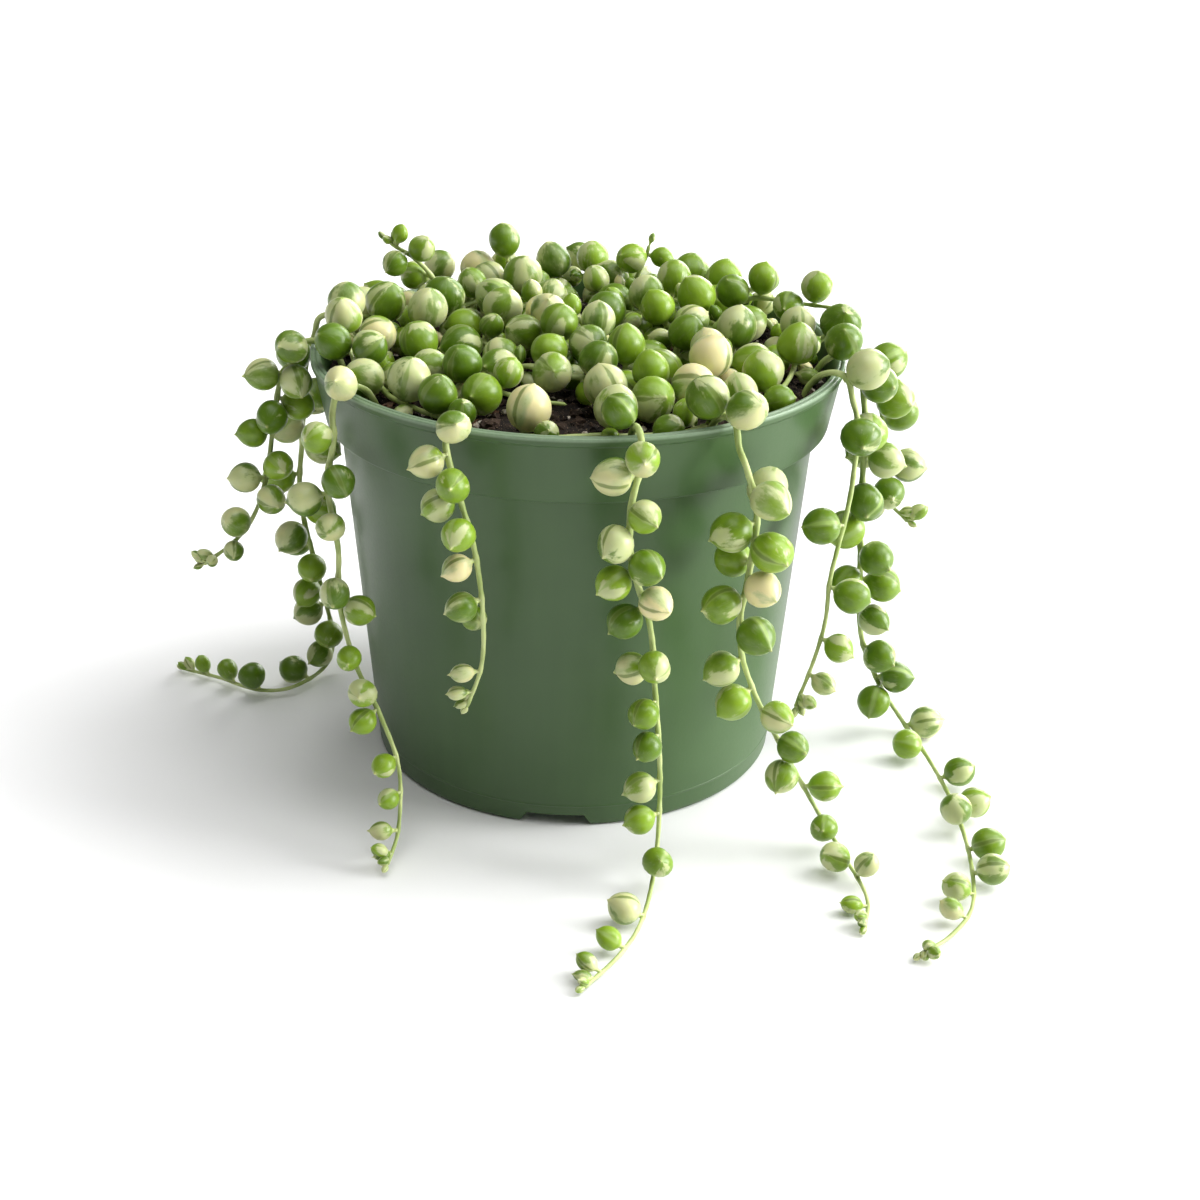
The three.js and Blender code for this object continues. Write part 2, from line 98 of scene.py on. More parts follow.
# ---- sizes of the looks
PEARL_RINGS = 16
PEARL_COLUMNS = 24
WINDOW_WIDTH = 7  # degrees round a pearl
WINDOW_DEPTH = 0.035  # share of a pearl's radius
STALK_RADIUS = 0.4
STEM_SIDES = 10
STEM_LOOK_STEP = 0.8
STEM_LOOK_RADIUS = (0.68, 0.36)
POT_SIDES = 180
CRUMBS, PERLITE, BARK = 1700, 260, 90


# ---- small helpers
def mix(a, b, t):
    """The value that lies t of the way from a to b."""
    return a + (b - a) * t


def unit(vector):
    return vector / np.linalg.norm(vector)


def polar(angle, radius):
    """x and y at an angle in degrees and a radius round the pot's axis."""
    a = radians(angle)
    return radius * cos(a), radius * sin(a)


def full_turn(count):
    """Equal angles of a full turn, in radians."""
    return np.arange(count) * 2 * pi / count


def turned_about(vector, axis, angle):
    """The vector turned about a unit axis by an angle in radians."""
    along = axis * np.dot(axis, vector) * (1 - cos(angle))
    return vector * cos(angle) + np.cross(axis, vector) * sin(angle) + along


def seeded_random(seed):
    """The numbers that the solids' source draws from the same seed."""
    state = seed

    def draw():
        nonlocal state
        state = state * 16807 % 2147483647
        return state / 2147483647

    return draw


# ---- where stems run
# The side to which a pearl grows, by its letter in a score. T ends the stem.
SIDES = {
    "L": (-1, -0.3, 0.1), "R": (1, -0.3, 0.1), "l": (-0.6, -0.8, 0.1), "r": (0.6, -0.8, 0.1),
    "F": (0, -1, 0.1), "B": (0, 1, 0.1), "U": (0, -0.3, 1), "T": (0, -0.3, 1),
}

# start is a strand's angle round the rim, or the x and y of a shoot's root. size holds
# the first, last and tip pearls' diameters. tones has one letter for each pearl in the
# score: g green, h half green, v streaked, c cream.
Planned = namedtuple("Planned", "name start size score tones points")
STRANDS = [
    Planned("strand_front_left", -114, (7.2, 4.8, 3.2),
            "..F.L.FL.L..L..L.L...L.LL", "vvghgcvvvvv", [
        (-20.5, -56.5, 76), (-18, -57.3, 66), (-16.8, -57.6, 54), (-17.2, -57.5, 44),
        (-20, -56.6, 35),
    ]),
    Planned("strand_front_middle", -78.5, (6.9, 5.8, 3.6),
            "LR.F.l.r.l.rl.rL...FL..l..l...L..L...F.L...L...L..L.", "gcvvvhggcghvggvgghvg", [
        (9.6, -58.8, 76), (10, -59, 66), (13.7, -58.4, 53), (15, -58.2, 40), (16.4, -58, 24),
        (16.6, -58.6, 10), (15.4, -66, 2.6), (12.8, -79, 2), (8.8, -88, 1.6), (2.6, -96.6, 1),
    ]),
    Planned("strand_front_right", -59.5, (8.4, 5.4, 3.6),
            "Lr.....rR.Lr.lr.l.r..L..L.r..r.l..R...F...l.l...l..", "hvvvgggchgvgvghggvvg", [
        (30.6, -51.6, 81), (32.9, -50.2, 72), (32.2, -50.6, 62), (30.8, -51.4, 48),
        (34.4, -50, 35), (42, -49.6, 20), (49.5, -48.6, 6), (53.4, -56, 2), (56, -69, 1.6),
        (54.6, -78, 1),
    ]),
    Planned("strand_right_inner", -22, (8.6, 6, 3.4), "F.R...F.......L....R...R..R.r", "gvgghgvv", [
        (54.6, -21.5, 79), (54.2, -24, 70), (53.2, -26.4, 63.5), (51.6, -29, 57), (50, -31.6, 50),
        (49.4, -33.6, 42), (47.2, -36, 34), (43.8, -40.6, 27),
    ]),
    Planned("strand_right_long", -9, (8.2, 6, 3.4),
            ".F..r..F..R..F..F..r.FR..r...r...Rl....R...F....R....r.R...r..R..L..L....l",
            "gvghggvgghgggvgghvgvhvv", [
        (57.6, -12, 76), (58.4, -10, 62), (59.6, -8, 45), (61.5, -6, 26), (67, -2, 12),
        (72.6, -3, 3.4), (76.4, -20, 2.4), (78.2, -38, 2.4), (78, -56, 2.4), (75.6, -72, 2),
        (70, -81, 1.6), (63.6, -86, 1),
    ]),
    Planned("strand_right_back", 6, (8.6, 7.4, 4.4), ".R..F.r.r.R.L.R.FLl.R", "gvghgvvhvvv", [
        (61, 7, 80), (64, 7, 72), (65.4, 5, 62), (66, 3, 54), (70.4, 1, 49.4),
    ]),
    Planned("strand_back_right", 44, (7, 4.4, 2.4), ".R..B.R..L.B..R.B..L.R..B", "gvhgcvghgv", [
        (41.8, 42.6, 76), (42.6, 44, 60), (44.6, 45, 44), (50, 48, 33),
    ]),
    Planned("strand_back_middle", 86, (7, 4.8, 2.6),
            ".B..R.L..B.R..B.L..R.B..L.R..B.L", "hgvgcghvgghvgv", [
        (4.4, 59.4, 76), (6, 60, 60), (3.6, 60.4, 42), (6, 61, 26), (10, 65, 14),
    ]),
    Planned("strand_back_left", 130, (7.2, 4.6, 2.4),
            ".B..L.R..B.L..B.R..L.B..L.R..B", "vghgvgchgvghv", [
        (-38.4, 45.4, 76), (-39.8, 46.4, 60), (-38, 47.6, 44), (-41, 49.4, 28), (-45.4, 53, 17),
    ]),
    Planned("strand_left_back", 166, (8.4, 5.6, 3.6),
            "..R..l..r..l.R..L..R.l.LF..l..L.F..l....U....U..U..U", "vghvghgvgghvghvgggg", [
        (-58, 13.4, 76), (-59.2, 13, 62), (-60.2, 12, 48), (-58, 15, 30), (-56, 20, 12),
        (-57.6, 20.4, 3), (-64, 11, 2), (-72, 10, 1.6), (-82, 16, 1.4), (-90.6, 20.6, 1),
    ]),
    Planned("strand_left_far", 185, (7.4, 5.6, 2.8), "..l.Fl.rF.L.r.Lr..l.l.FL", "vhvggghvvvvvv", [
        (-59.8, -5, 82), (-62, -6, 71), (-63.4, -8, 62), (-66, -10, 54), (-70, -12, 48.6),
        (-76.4, -14, 44),
    ]),
    Planned("strand_left_front", 217, (6.9, 5, 3.8),
            ".F...l..r.L.F....F.R...F..F.l...l..l..L.l", "vhgvvvhghgghvv", [
        (-45.4, -37.4, 80), (-47, -37, 71), (-45.2, -39.4, 59), (-45.6, -38.8, 48),
        (-42.6, -42, 36), (-37.6, -46.4, 27), (-34, -49.6, 17), (-34, -54, 6), (-35.6, -60.4, 2),
    ]),
]

# The shoots stand up out of the crown.
SHOOTS = [
    Planned("shoot_back_left", (-29, 24.6), (7.6, 5.4, 3), "..F.L.RFU", "vhvvg", [
        (-29.2, 24.4, 88), (-31, 23.6, 94), (-34.6, 22.6, 98.6), (-38.6, 22, 101.4),
        (-40.6, 22, 102.8),
    ]),
    Planned("shoot_back", (-14.6, 35), (7, 7.8, 7.8), "..T", "h", [
        (-14.8, 35.4, 88), (-15.4, 36.4, 92), (-15.8, 37, 94.4),
    ]),
    Planned("shoot_back_middle", (10, 36.6), (7.4, 7, 2.2), ".LR.LR.T", "vgggv", [
        (10.6, 36.4, 88), (13, 35.6, 93), (14.4, 35, 96.6), (15, 35, 98.8),
    ]),
    Planned("shoot_right", (31, 22.6), (7.4, 7, 6.6), "..L.U..F.U.F", "ggghv", [
        (32, 22.4, 88), (37, 21.6, 91.6), (45, 19.6, 91.4), (53, 14, 92),
    ]),
    Planned("shoot_left", (-38, 9), (8.4, 7.4, 6.6), "..U.r.U..U..l.U.lU", "hvvvgvvg", [
        (-38.6, 8.8, 87.6), (-43, 8, 90.2), (-46.6, 4, 90.8), (-47, -3, 91), (-45.6, -10, 90.4),
        (-43.6, -16.4, 88.8),
    ]),
]

# The crown's stems creep along rings about the pot's axis, and turn is a ring's start.
CROWN_RINGS = [
    dict(radius=8, stems=1, turn=40),
    dict(radius=19.6, stems=3, turn=100),
    dict(radius=31.6, stems=4, turn=10),
    dict(radius=44.2, stems=6, turn=-105),
]
# Each pass tries a pearl of a random size at every pitch of each creeping stem.
CROWN_PASSES = [
    dict(pitch=3.8, size=(7.2, 8.8)),
    dict(pitch=3, size=(5.2, 6.6)),
]
# Small pearls of the looks alone, in the room that the solids' pearls leave.
FINE_PASSES = [
    dict(pitch=1.7, size=(4.8, 6.2)),
    dict(pitch=1.3, size=(3.4, 4.8)),
]
CROWN_TONES = "vghhvgchvgvghhgvch"  # a pearl's size picks its letter
# x, y and radius of the bare patches in the crown, where the soil shows.
CLEARINGS = [(-1, -43, 6.2), (-5.5, -35, 7), (-13, -36, 4.5), (44, -19, 7.8)]
CROWN_LIFT, CROWN_DOME, CROWN_BACK_RISE, CROWN_RIPPLE = 4, 4, 2.4, 0.8
RING_BREAK = 8  # free length between two stems of a ring
RING_STEP = 7  # length between the points of a ring's stem
RING_WOBBLE = 0.8
PITCH_JITTER = 0.8
MOST_LEAN = 100  # degrees from straight up
GOLDEN_PART = 0.618  # spreads the leans of neighbours
LENGTH_PER_RADIAN = 20  # by which the sides turn along a creeping stem

# Radius, and height over the rim, of the points that take a strand over the pot's lip.
OVER_THE_LIP = [
    (STRAND_ROOT_RADIUS + 2, -0.2), (RIM_RADIUS - 1.2, 1.6), (RIM_RADIUS + 2, 0.8),
    (RIM_RADIUS + 3.3, -3),
]


def crown_lift(x, y):
    """How high a creeping stem runs above the soil."""
    from_axis = hypot(x, y) / STRAND_ROOT_RADIUS
    dome = CROWN_DOME * (1 - from_axis * from_axis)
    ripple = CROWN_RIPPLE * sin(x / 6 + 1) * cos(y / 7)
    return CROWN_LIFT + dome + (CROWN_BACK_RISE * y) / STRAND_ROOT_RADIUS + ripple


def out_of_soil(x, y):
    """A stem's first points: its buried root end, and just above the soil."""
    return [(x, y, SOIL_TOP - ROOT_DEPTH), (x, y, SOIL_TOP + 1.5)]


def over_the_rim(angle):
    """The first points of a strand: up out of the soil and over the pot's lip."""
    over = [(*polar(angle, radius), POT_HEIGHT + height) for radius, height in OVER_THE_LIP]
    return out_of_soil(*polar(angle, STRAND_ROOT_RADIUS)) + over


def crown_route(ring, index):
    """The points of one of a ring's creeping stems."""
    share = 360 / ring["stems"]
    clearance = (RING_BREAK / ring["radius"]) * (180 / pi)
    start = ring["turn"] + share * index
    span = max(share - clearance, share * 0.55)
    steps = max(4, int((radians(span) * ring["radius"]) / RING_STEP + 0.5))
    route = out_of_soil(*polar(start, ring["radius"]))
    for i in range(1, steps + 1):
        angle = start + (span * i) / steps
        wobble = RING_WOBBLE * sin(radians(3 * angle) + ring["radius"])
        x, y = polar(angle, ring["radius"] + wobble)
        route.append((x, y, SOIL_TOP + crown_lift(x, y)))
    return route


class Curve:
    """The smooth line that the solids' stems follow, read at equal steps of its length."""

    PARTS = 600  # straight parts that its length is measured in

    def __init__(self, points):
        self.points = np.array(points, float)
        first = 2 * self.points[0] - self.points[1]
        last = 2 * self.points[-1] - self.points[-2]
        self.padded = np.vstack([first, self.points, last])
        places = self.at(np.linspace(0, 1, self.PARTS + 1))
        steps = np.linalg.norm(np.diff(places, axis=0), axis=1)
        self.lengths = np.concatenate([[0], np.cumsum(steps)])
        self.length = self.lengths[-1]

    def at(self, t):
        """Points at parameters t from 0 to 1, an equal part for each two knots."""
        spans = len(self.points) - 1
        i = np.minimum((t * spans).astype(int), spans - 1)
        w = (t * spans - i)[:, None]
        p0, p1, p2, p3 = (self.padded[i + k] for k in range(4))
        t0, t1 = 0.5 * (p2 - p0), 0.5 * (p3 - p1)
        cubic = 2 * p1 - 2 * p2 + t0 + t1
        square = -3 * p1 + 3 * p2 - 2 * t0 - t1
        return p1 + w * (t0 + w * (square + w * cubic))

    def spaced(self, count):
        """Points at equal steps of the line's length, one more than count."""
        target = np.linspace(0, self.length, count + 1)
        i = np.clip(np.searchsorted(self.lengths, target, side="right") - 1, 0, self.PARTS - 1)
        part = (target - self.lengths[i]) / (self.lengths[i + 1] - self.lengths[i])
        return self.at((i + part) / self.PARTS)


class Stem:
    """A stem's line and the pearls on it."""

    def __init__(self, name, route, number):
        self.name = name
        self.number = number
        self.curve = Curve(route)
        self.length = self.curve.length
        self.spine = self.curve.spaced(max(5, int(self.length / STEM_STEP + 0.5)))
        self.points = self.curve.spaced(int(self.length + 0.5))
        self.pearls = []

    def spine_at(self, t):
        """The point and the direction at a share t of the solid stem's length."""
        last = len(self.spine) - 1
        i = min(last - 1, int(t * last))
        place = mix(self.spine[i], self.spine[i + 1], t * last - i)
        return place, unit(self.spine[i + 1] - self.spine[i])


def distance_to_pot(point):
    p = np.array([hypot(point[0], point[1]), point[2]])
    a, b = AIR_SIDE[:-1], AIR_SIDE[1:]
    t = np.clip(((p - a) * (b - a)).sum(1) / ((b - a) ** 2).sum(1), 0, 1)
    return np.linalg.norm(p - mix(a, b, t[:, None]), axis=1).min()


def in_clearing(point):
    return any(hypot(point[0] - x, point[1] - y) < reach for x, y, reach in CLEARINGS)


class Room:
    """Every pearl placed so far, and every stem's points, to test a new pearl against."""

    FAR_AWAY, MOST = 1e6, 1200

    def __init__(self, stems):
        self.points = np.vstack([stem.points for stem in stems])
        self.point_stem = np.concatenate([np.full(len(s.points), s.number) for s in stems])
        self.center = np.full((self.MOST, 3), self.FAR_AWAY)
        self.tip = self.center.copy()
        self.radius = np.zeros(self.MOST)
        self.stem = np.full(self.MOST, -1)
        self.count = 0

    def has(self, pearl, own):
        """Whether the pearl is clear of the pot, the surface, pearls and other stems."""
        center, tip, radius = pearl["center"], pearl["tip"], pearl["radius"]
        if in_clearing(center) or center[2] < radius + OWN_GAP or tip[2] < OWN_GAP:
            return False
        if distance_to_pot(center) < radius + GAP or distance_to_pot(tip) < GAP:
            return False
        n = slice(0, self.count)
        gap = np.where(self.stem[n] == own.number, OWN_GAP, GAP)
        apart = np.linalg.norm(self.center[n] - center, axis=1) - self.radius[n] - radius
        tip_apart = np.linalg.norm(self.center[n] - tip, axis=1) - self.radius[n]
        from_tips = np.linalg.norm(self.tip[n] - center, axis=1) - radius
        if (apart < gap).any() or (tip_apart < gap).any() or (from_tips < gap).any():
            return False
        others = self.points[self.point_stem != own.number]
        reach = radius + STEM_RADIUS + GAP
        return np.linalg.norm(others - center, axis=1).min() >= reach

    def add(self, pearl, own):
        n = self.count
        self.center[n], self.tip[n] = pearl["center"], pearl["tip"]
        self.radius[n], self.stem[n] = pearl["radius"], own.number
        self.count += 1
        own.pearls.append(pearl)


def pearl_at(stem, along, side, radius):
    """A pearl that grows to one side of a stem, at a length along it."""
    base, tangent = stem.spine_at(along / stem.length)
    axis = unit(side - tangent * np.dot(side, tangent))
    axis = unit(axis + tangent * (PEARL_LEAN if along < stem.length else STRAIGHT_ON))
    center = base + axis * (radius + PEDICEL)
    tip = center + axis * (radius + PEARL_POINT)
    return dict(base=base, axis=axis, radius=radius, center=center, tip=tip, along=along)


# Degrees about the stem by which a pearl turns away from its wished side to find room.
TURNS_TO_TRY = [0, 24, -24, 48, -48, 75, -75, 105, -105]


def try_pearl(stem, along, side, radius, room, tone):
    """Adds the pearl at the first turn where there is room, or not at all."""
    _, tangent = stem.spine_at(along / stem.length)
    for turn in TURNS_TO_TRY:
        turned = turned_about(side, tangent, radians(turn))
        pearl = pearl_at(stem, along, turned, radius)
        if room.has(pearl, stem):
            room.add({**pearl, "tone": tone}, stem)
            return


def pearl_radius(size, t, random):
    """Half the diameter at a share t of the stem."""
    first, last, tip = size
    near_tip = max(0, (t - TIP_STARTS) / (1 - TIP_STARTS))
    return 0.5 * mix(mix(first, last, t), tip, near_tip) * mix(*SIZE_SPREAD, random())


def hang_pearls(stem, item, first_at, room, random):
    """The pearls of a strand or shoot, by its score."""
    tones = iter(item.tones)
    for i, sign in enumerate(item.score):
        place = first_at + SCORE_STEP * i + mix(-SCORE_JITTER, SCORE_JITTER, random())
        along = stem.length if sign == "T" else min(place, stem.length - STEM_END)
        radius = pearl_radius(item.size, along / stem.length, random)
        if sign != ".":
            try_pearl(stem, along, np.array(SIDES[sign], float), radius, room, next(tones, "v"))


def fill_crown_stem(stem, fill, room, random):
    """One pass of pearls along a creeping stem."""
    count = int((stem.length - FIRST_PEARL) / fill["pitch"]) + 1
    for i in range(count):
        along = FIRST_PEARL + fill["pitch"] * i + mix(-PITCH_JITTER, PITCH_JITTER, random())
        lean = radians(MOST_LEAN * (((i * GOLDEN_PART) % 1) * 2 - 1))
        around = atan2(stem.points[0][1], stem.points[0][0]) + along / LENGTH_PER_RADIAN
        side = np.array([sin(lean) * cos(around), sin(lean) * sin(around), cos(lean)])
        radius = 0.5 * mix(*fill["size"], random())
        tone = CROWN_TONES[int(radius * 1000) % len(CROWN_TONES)]
        try_pearl(stem, min(along, stem.length - STEM_END), side, radius, room, tone)


def grow_plant():
    """All stems with their pearls, by the rule that placed the solids' pearls."""
    routes = [(s.name, over_the_rim(s.start) + s.points) for s in STRANDS]
    routes += [(s.name, out_of_soil(*s.start) + s.points) for s in SHOOTS]
    creeping = [crown_route(ring, i) for ring in CROWN_RINGS for i in range(ring["stems"])]
    routes += [(f"creeping_stem_{i + 1:02d}", route) for i, route in enumerate(creeping)]
    stems = [Stem(name, route, i) for i, (name, route) in enumerate(routes)]
    room = Room(stems)
    for i, item in enumerate(STRANDS):
        hang_pearls(stems[i], item, OVER_RIM_LENGTH, room, seeded_random(STRAND_SEED + i))
    for i, item in enumerate(SHOOTS):
        stem = stems[len(STRANDS) + i]
        hang_pearls(stem, item, FIRST_PEARL, room, seeded_random(SHOOT_SEED + i))
    creepers = stems[len(STRANDS) + len(SHOOTS):]
    for turn, fill in enumerate(CROWN_PASSES + FINE_PASSES):
        for i, stem in enumerate(creepers):
            fill_crown_stem(stem, fill, room, seeded_random(CROWN_SEED + 100 * turn + i))
    return stems


# ---- materials
class Nodes:
    """A short way to write a material's nodes. A socket is linked, and a value is set."""

    def __init__(self, name):
        self.material = bpy.data.materials.new(name)
        self.material.use_nodes = True
        self.tree = self.material.node_tree
        self.shader = self.tree.nodes["Principled BSDF"]

    def give(self, socket, value):
        if isinstance(value, bpy.types.NodeSocket):
            self.tree.links.new(value, socket)
        else:
            socket.default_value = value

    def fill(self, node, **values):
        """Links or sets a node's inputs by their names."""
        for name, value in values.items():
            self.give(node.inputs[name.replace("_", " ")], value)

    def add(self, kind, *inputs, **settings):
        node = self.tree.nodes.new(kind)
        for key, value in settings.items():
            setattr(node, key, value)
        for socket, value in zip(node.inputs, inputs):
            if value is not None:
                self.give(socket, value)
        return node

    def math(self, operation, a, b=None, c=None):
        return self.add("ShaderNodeMath", a, b, c, operation=operation).outputs[0]

    def times(self, a, b):
        return self.math("MULTIPLY", a, b)

    def smooth(self, value, low, high):
        """0 at low, 1 at high, and smooth between; low may be the greater of the two."""
        limits = (low, high, 0.0, 1.0)
        node = self.add("ShaderNodeMapRange", value, *limits, interpolation_type="SMOOTHSTEP")
        return node.outputs[0]

    def between(self, value, low, high):
        """A value from 0 to 1 stretched to run from low to high."""
        return self.add("ShaderNodeMapRange", value, 0.0, 1.0, low, high).outputs[0]

    def mix(self, factor, a, b):
        """A colour from a to b: the node's inputs 6 and 7, and its output 2."""
        node = self.add("ShaderNodeMix", data_type="RGBA")
        for socket, value in ((node.inputs[0], factor), (node.inputs[6], a), (node.inputs[7], b)):
            self.give(socket, (*value, 1) if isinstance(value, tuple) else value)
        return node.outputs[2]

    def noise(self, vector, scale, detail=2.0, roughness=0.5):
        node = self.add("ShaderNodeTexNoise")
        self.fill(node, Vector=vector, Scale=scale, Detail=detail, Roughness=roughness)
        return node.outputs[0]

    def centred(self, value, amount):
        """A noise from 0 to 1, made to swing by an amount about zero."""
        return self.times(self.math("SUBTRACT", value, 0.5), amount)

    def attribute(self, name):
        """The three numbers of a vector attribute."""
        node = self.add("ShaderNodeAttribute", attribute_name=name)
        return self.add("ShaderNodeSeparateXYZ", node.outputs["Vector"]).outputs

    def place(self):
        return self.add("ShaderNodeTexCoord").outputs["Object"]

    def vector(self, x, y, z):
        return self.add("ShaderNodeCombineXYZ", x, y, z).outputs[0]

    def stretched(self, *factors):
        """The place, with its x, y and z multiplied by three factors."""
        node = self.add("ShaderNodeVectorMath", self.place(), factors, operation="MULTIPLY")
        return node.outputs[0]

    def bump(self, height, strength, distance):
        node = self.add("ShaderNodeBump")
        self.fill(node, Height=height, Strength=strength, Distance=distance)
        self.fill(self.shader, Normal=node.outputs[0])

    def set(self, **values):
        """Fills the shader's inputs, and gives the finished material."""
        self.fill(self.shader, **values)
        return self.material


DEEP_GREEN = (0.084, 0.165, 0.004)
FRESH_GREEN = (0.219, 0.352, 0.018)
GREY_GREEN = (0.288, 0.358, 0.135)
PALE_GREEN = (0.455, 0.507, 0.24)
CREAM = (0.72, 0.65, 0.34)
OLIVE = (0.12, 0.18, 0.022)
WINDOW_LIGHT = (0.29, 0.42, 0.10)
TIP_CREAM = (0.58, 0.58, 0.28)
STEM_LIGHT = (0.48, 0.555, 0.225)
STEM_DARK = (0.29, 0.375, 0.105)
POT_DARK, POT_LIGHT = (0.039, 0.087, 0.023), (0.048, 0.102, 0.029)
# The pale green below is painted along the lip's top as a highlight line.
POT_LIP_HIGHLIGHT = (0.22, 0.31, 0.195)
SOIL_DARK, SOIL_BROWN, SOIL_FLECK = (0.008, 0.006, 0.005), (0.062, 0.038, 0.026), (0.32, 0.23, 0.15)
PERLITE_TONES = ((0.42, 0.34, 0.25), (0.78, 0.73, 0.64))
BARK_TONES = ((0.05, 0.022, 0.012), (0.20, 0.10, 0.05))
# The floor's painted shade: a darker grey near the part, going to near white far away.
FLOOR_NEAR_SHADED, FLOOR_FAR = (0.89, 0.89, 0.89), (0.99, 0.99, 0.99)


def streaks(n, place, seed, *kinds):
    """Noises in streaks from stalk to point, each by its rise and its settings."""
    across_x, across_y, height = place
    squares = (n.times(across, across) for across in (across_x, across_y))
    fan = n.math("POWER", n.math("ADD", n.math("ADD", *squares), 0.02), -0.3)
    fan_x, fan_y = n.times(across_x, fan), n.times(across_y, fan)
    shift = n.times(seed, 80.0)
    return [
        n.noise(n.vector(fan_x, fan_y, n.math("MULTIPLY_ADD", height, rise, shift)), *settings)
        for rise, *settings in kinds
    ]


def pearl_fields(n, kind, blotch, feather, pattern):
    """Green, grey-green, pale and cream fields with ragged edges, by the pale share."""
    share, _, tint = kind
    edges = n.math("ADD", n.centred(blotch, 0.16), n.centred(feather, 0.26))
    field = n.math("SUBTRACT", n.math("ADD", pattern, edges), share)
    tone = n.math("MULTIPLY_ADD", tint, 0.75, n.centred(blotch, 0.5))
    depth = n.math("MULTIPLY_ADD", feather, 0.25, tone)
    green = n.mix(n.smooth(depth, 0.1, 0.9), FRESH_GREEN, DEEP_GREEN)
    grey = n.times(n.smooth(share, 0.43, 0.55), n.smooth(field, 0.14, 0.02))
    green = n.mix(n.times(grey, 0.6), green, GREY_GREEN)
    veil = n.times(n.smooth(feather, 0.52, 0.75), 0.18)
    green = n.mix(veil, green, PALE_GREEN)
    creaminess = n.times(n.smooth(field, -0.03, -0.2), n.smooth(share, 0.42, 0.7))
    pale = n.mix(creaminess, PALE_GREEN, CREAM)
    return n.mix(n.smooth(field, -0.035, 0.04), pale, green)


def with_window(n, place, kind, feather, skin):
    """The skin with the window slit down a pearl's front, and its pale border."""
    across_x, across_y, height = place
    share, seed, _ = kind
    side = n.math("ABSOLUTE", n.math("ADD", across_y, n.centred(feather, 0.14)))
    ends = n.times(n.smooth(height, -0.95, -0.4), n.smooth(height, 1.0, 0.55))
    past_edge = n.math("SUBTRACT", side, n.math("MULTIPLY_ADD", ends, 0.09, 0.01))
    front = n.times(n.smooth(across_x, 0.0, 0.2), n.smooth(height, -0.9, -0.6))
    slit = n.times(front, n.smooth(past_edge, 0.035, -0.03))
    border = n.times(front, n.smooth(past_edge, 0.13, 0.03))
    bordered = n.mix(n.times(border, 0.22), skin, PALE_GREEN)
    lit = n.times(n.smooth(seed, 0.35, 0.5), n.smooth(share, 0.52, 0.44))
    window = n.mix(lit, OLIVE, WINDOW_LIGHT)
    return n.mix(n.times(slit, 0.75), bordered, window)


def pearl_material():
    """A fleshy skin with fields of colour, a window slit and a pale point.

    pearl_place holds a point's place as shares of the pearl's radius: x, y and the height
    from its middle to its point. pearl_kind holds its share of pale, a seed and a tint.
    """
    n = Nodes("pearl_skin")
    place, kind = n.attribute("pearl_place"), n.attribute("pearl_kind")
    height, seed = place[2], kind[1]
    blotch = n.noise(n.place(), 520.0, 4.0, 0.6)
    feather, pattern = streaks(n, place, seed, (0.35, 4.2, 4.0, 0.6), (0.55, 0.85, 0.5))
    skin = pearl_fields(n, kind, blotch, feather, pattern)
    marked = with_window(n, place, kind, feather, skin)
    tipped = n.mix(n.times(n.smooth(height, 1.0, 1.15), 0.6), marked, TIP_CREAM)
    color = n.mix(n.smooth(height, -0.86, -1.06), tipped, STEM_LIGHT)
    n.bump(n.math("ADD", feather, n.noise(n.place(), 2600.0, 2.0)), 0.12, 0.00009)
    return n.set(
        Base_Color=color,
        Roughness=n.between(blotch, 0.26, 0.42),
        Specular_IOR_Level=0.42,
        Subsurface_Weight=0.35,
        Subsurface_Radius=(0.8, 1.0, 0.25),
        Subsurface_Scale=0.0010,
        Sheen_Weight=0.12,
        Sheen_Roughness=0.30,
        Sheen_Tint=(0.93, 0.95, 0.62, 1),
    )


def stem_material():
    """Pale and darker green patches under fine fibres."""
    n = Nodes("stem_skin")
    patches = n.noise(n.place(), 160.0, 3.0)
    fibres = n.noise(n.stretched(1, 1, 0.3), 2200.0, 2.0)
    color = n.mix(n.smooth(patches, 0.35, 0.65), STEM_DARK, STEM_LIGHT)
    n.bump(fibres, 0.3, 0.00012)
    return n.set(
        Base_Color=color,
        Roughness=n.between(fibres, 0.42, 0.6),
        Subsurface_Weight=0.15,
        Subsurface_Radius=(0.8, 1.0, 0.3),
        Subsurface_Scale=0.0006,
    )


def pot_material():
    """Satin green moulded plastic with a fine grain, faint upright flow lines and a painted
    highlight: a pale green along the top of the lip.
    """
    n = Nodes("green_pot_plastic")
    clouds = n.noise(n.place(), 28.0, 3.0)
    flow = n.noise(n.stretched(1, 1, 0.03), 260.0, 3.0)
    grain = n.noise(n.place(), 1500.0, 2.0)
    tone = n.math("MULTIPLY_ADD", flow, 0.25, n.times(clouds, 0.75))
    body = n.mix(n.smooth(tone, 0.3, 0.7), POT_DARK, POT_LIGHT)
    height = n.add("ShaderNodeSeparateXYZ", n.place()).outputs[2]
    # Painted highlight: the top 0.9 mm of the lip goes towards a pale green, broken up by the
    # grain.
    lip_highlight = n.smooth(height, (POT_HEIGHT - 0.9) * MM, (POT_HEIGHT - 0.3) * MM)
    color = n.mix(n.times(lip_highlight, n.between(grain, 0.6, 1.0)), body, POT_LIP_HIGHLIGHT)
    n.bump(n.math("MULTIPLY_ADD", flow, 0.6, grain), 0.10, 0.00012)
    satin = n.math("MULTIPLY_ADD", clouds, 0.5, n.times(grain, 0.5))
    return n.set(
        Base_Color=color,
        Roughness=n.between(satin, 0.36, 0.52),
        Specular_IOR_Level=0.42,
        Coat_Weight=0.16,
        Coat_Roughness=0.22,
    )


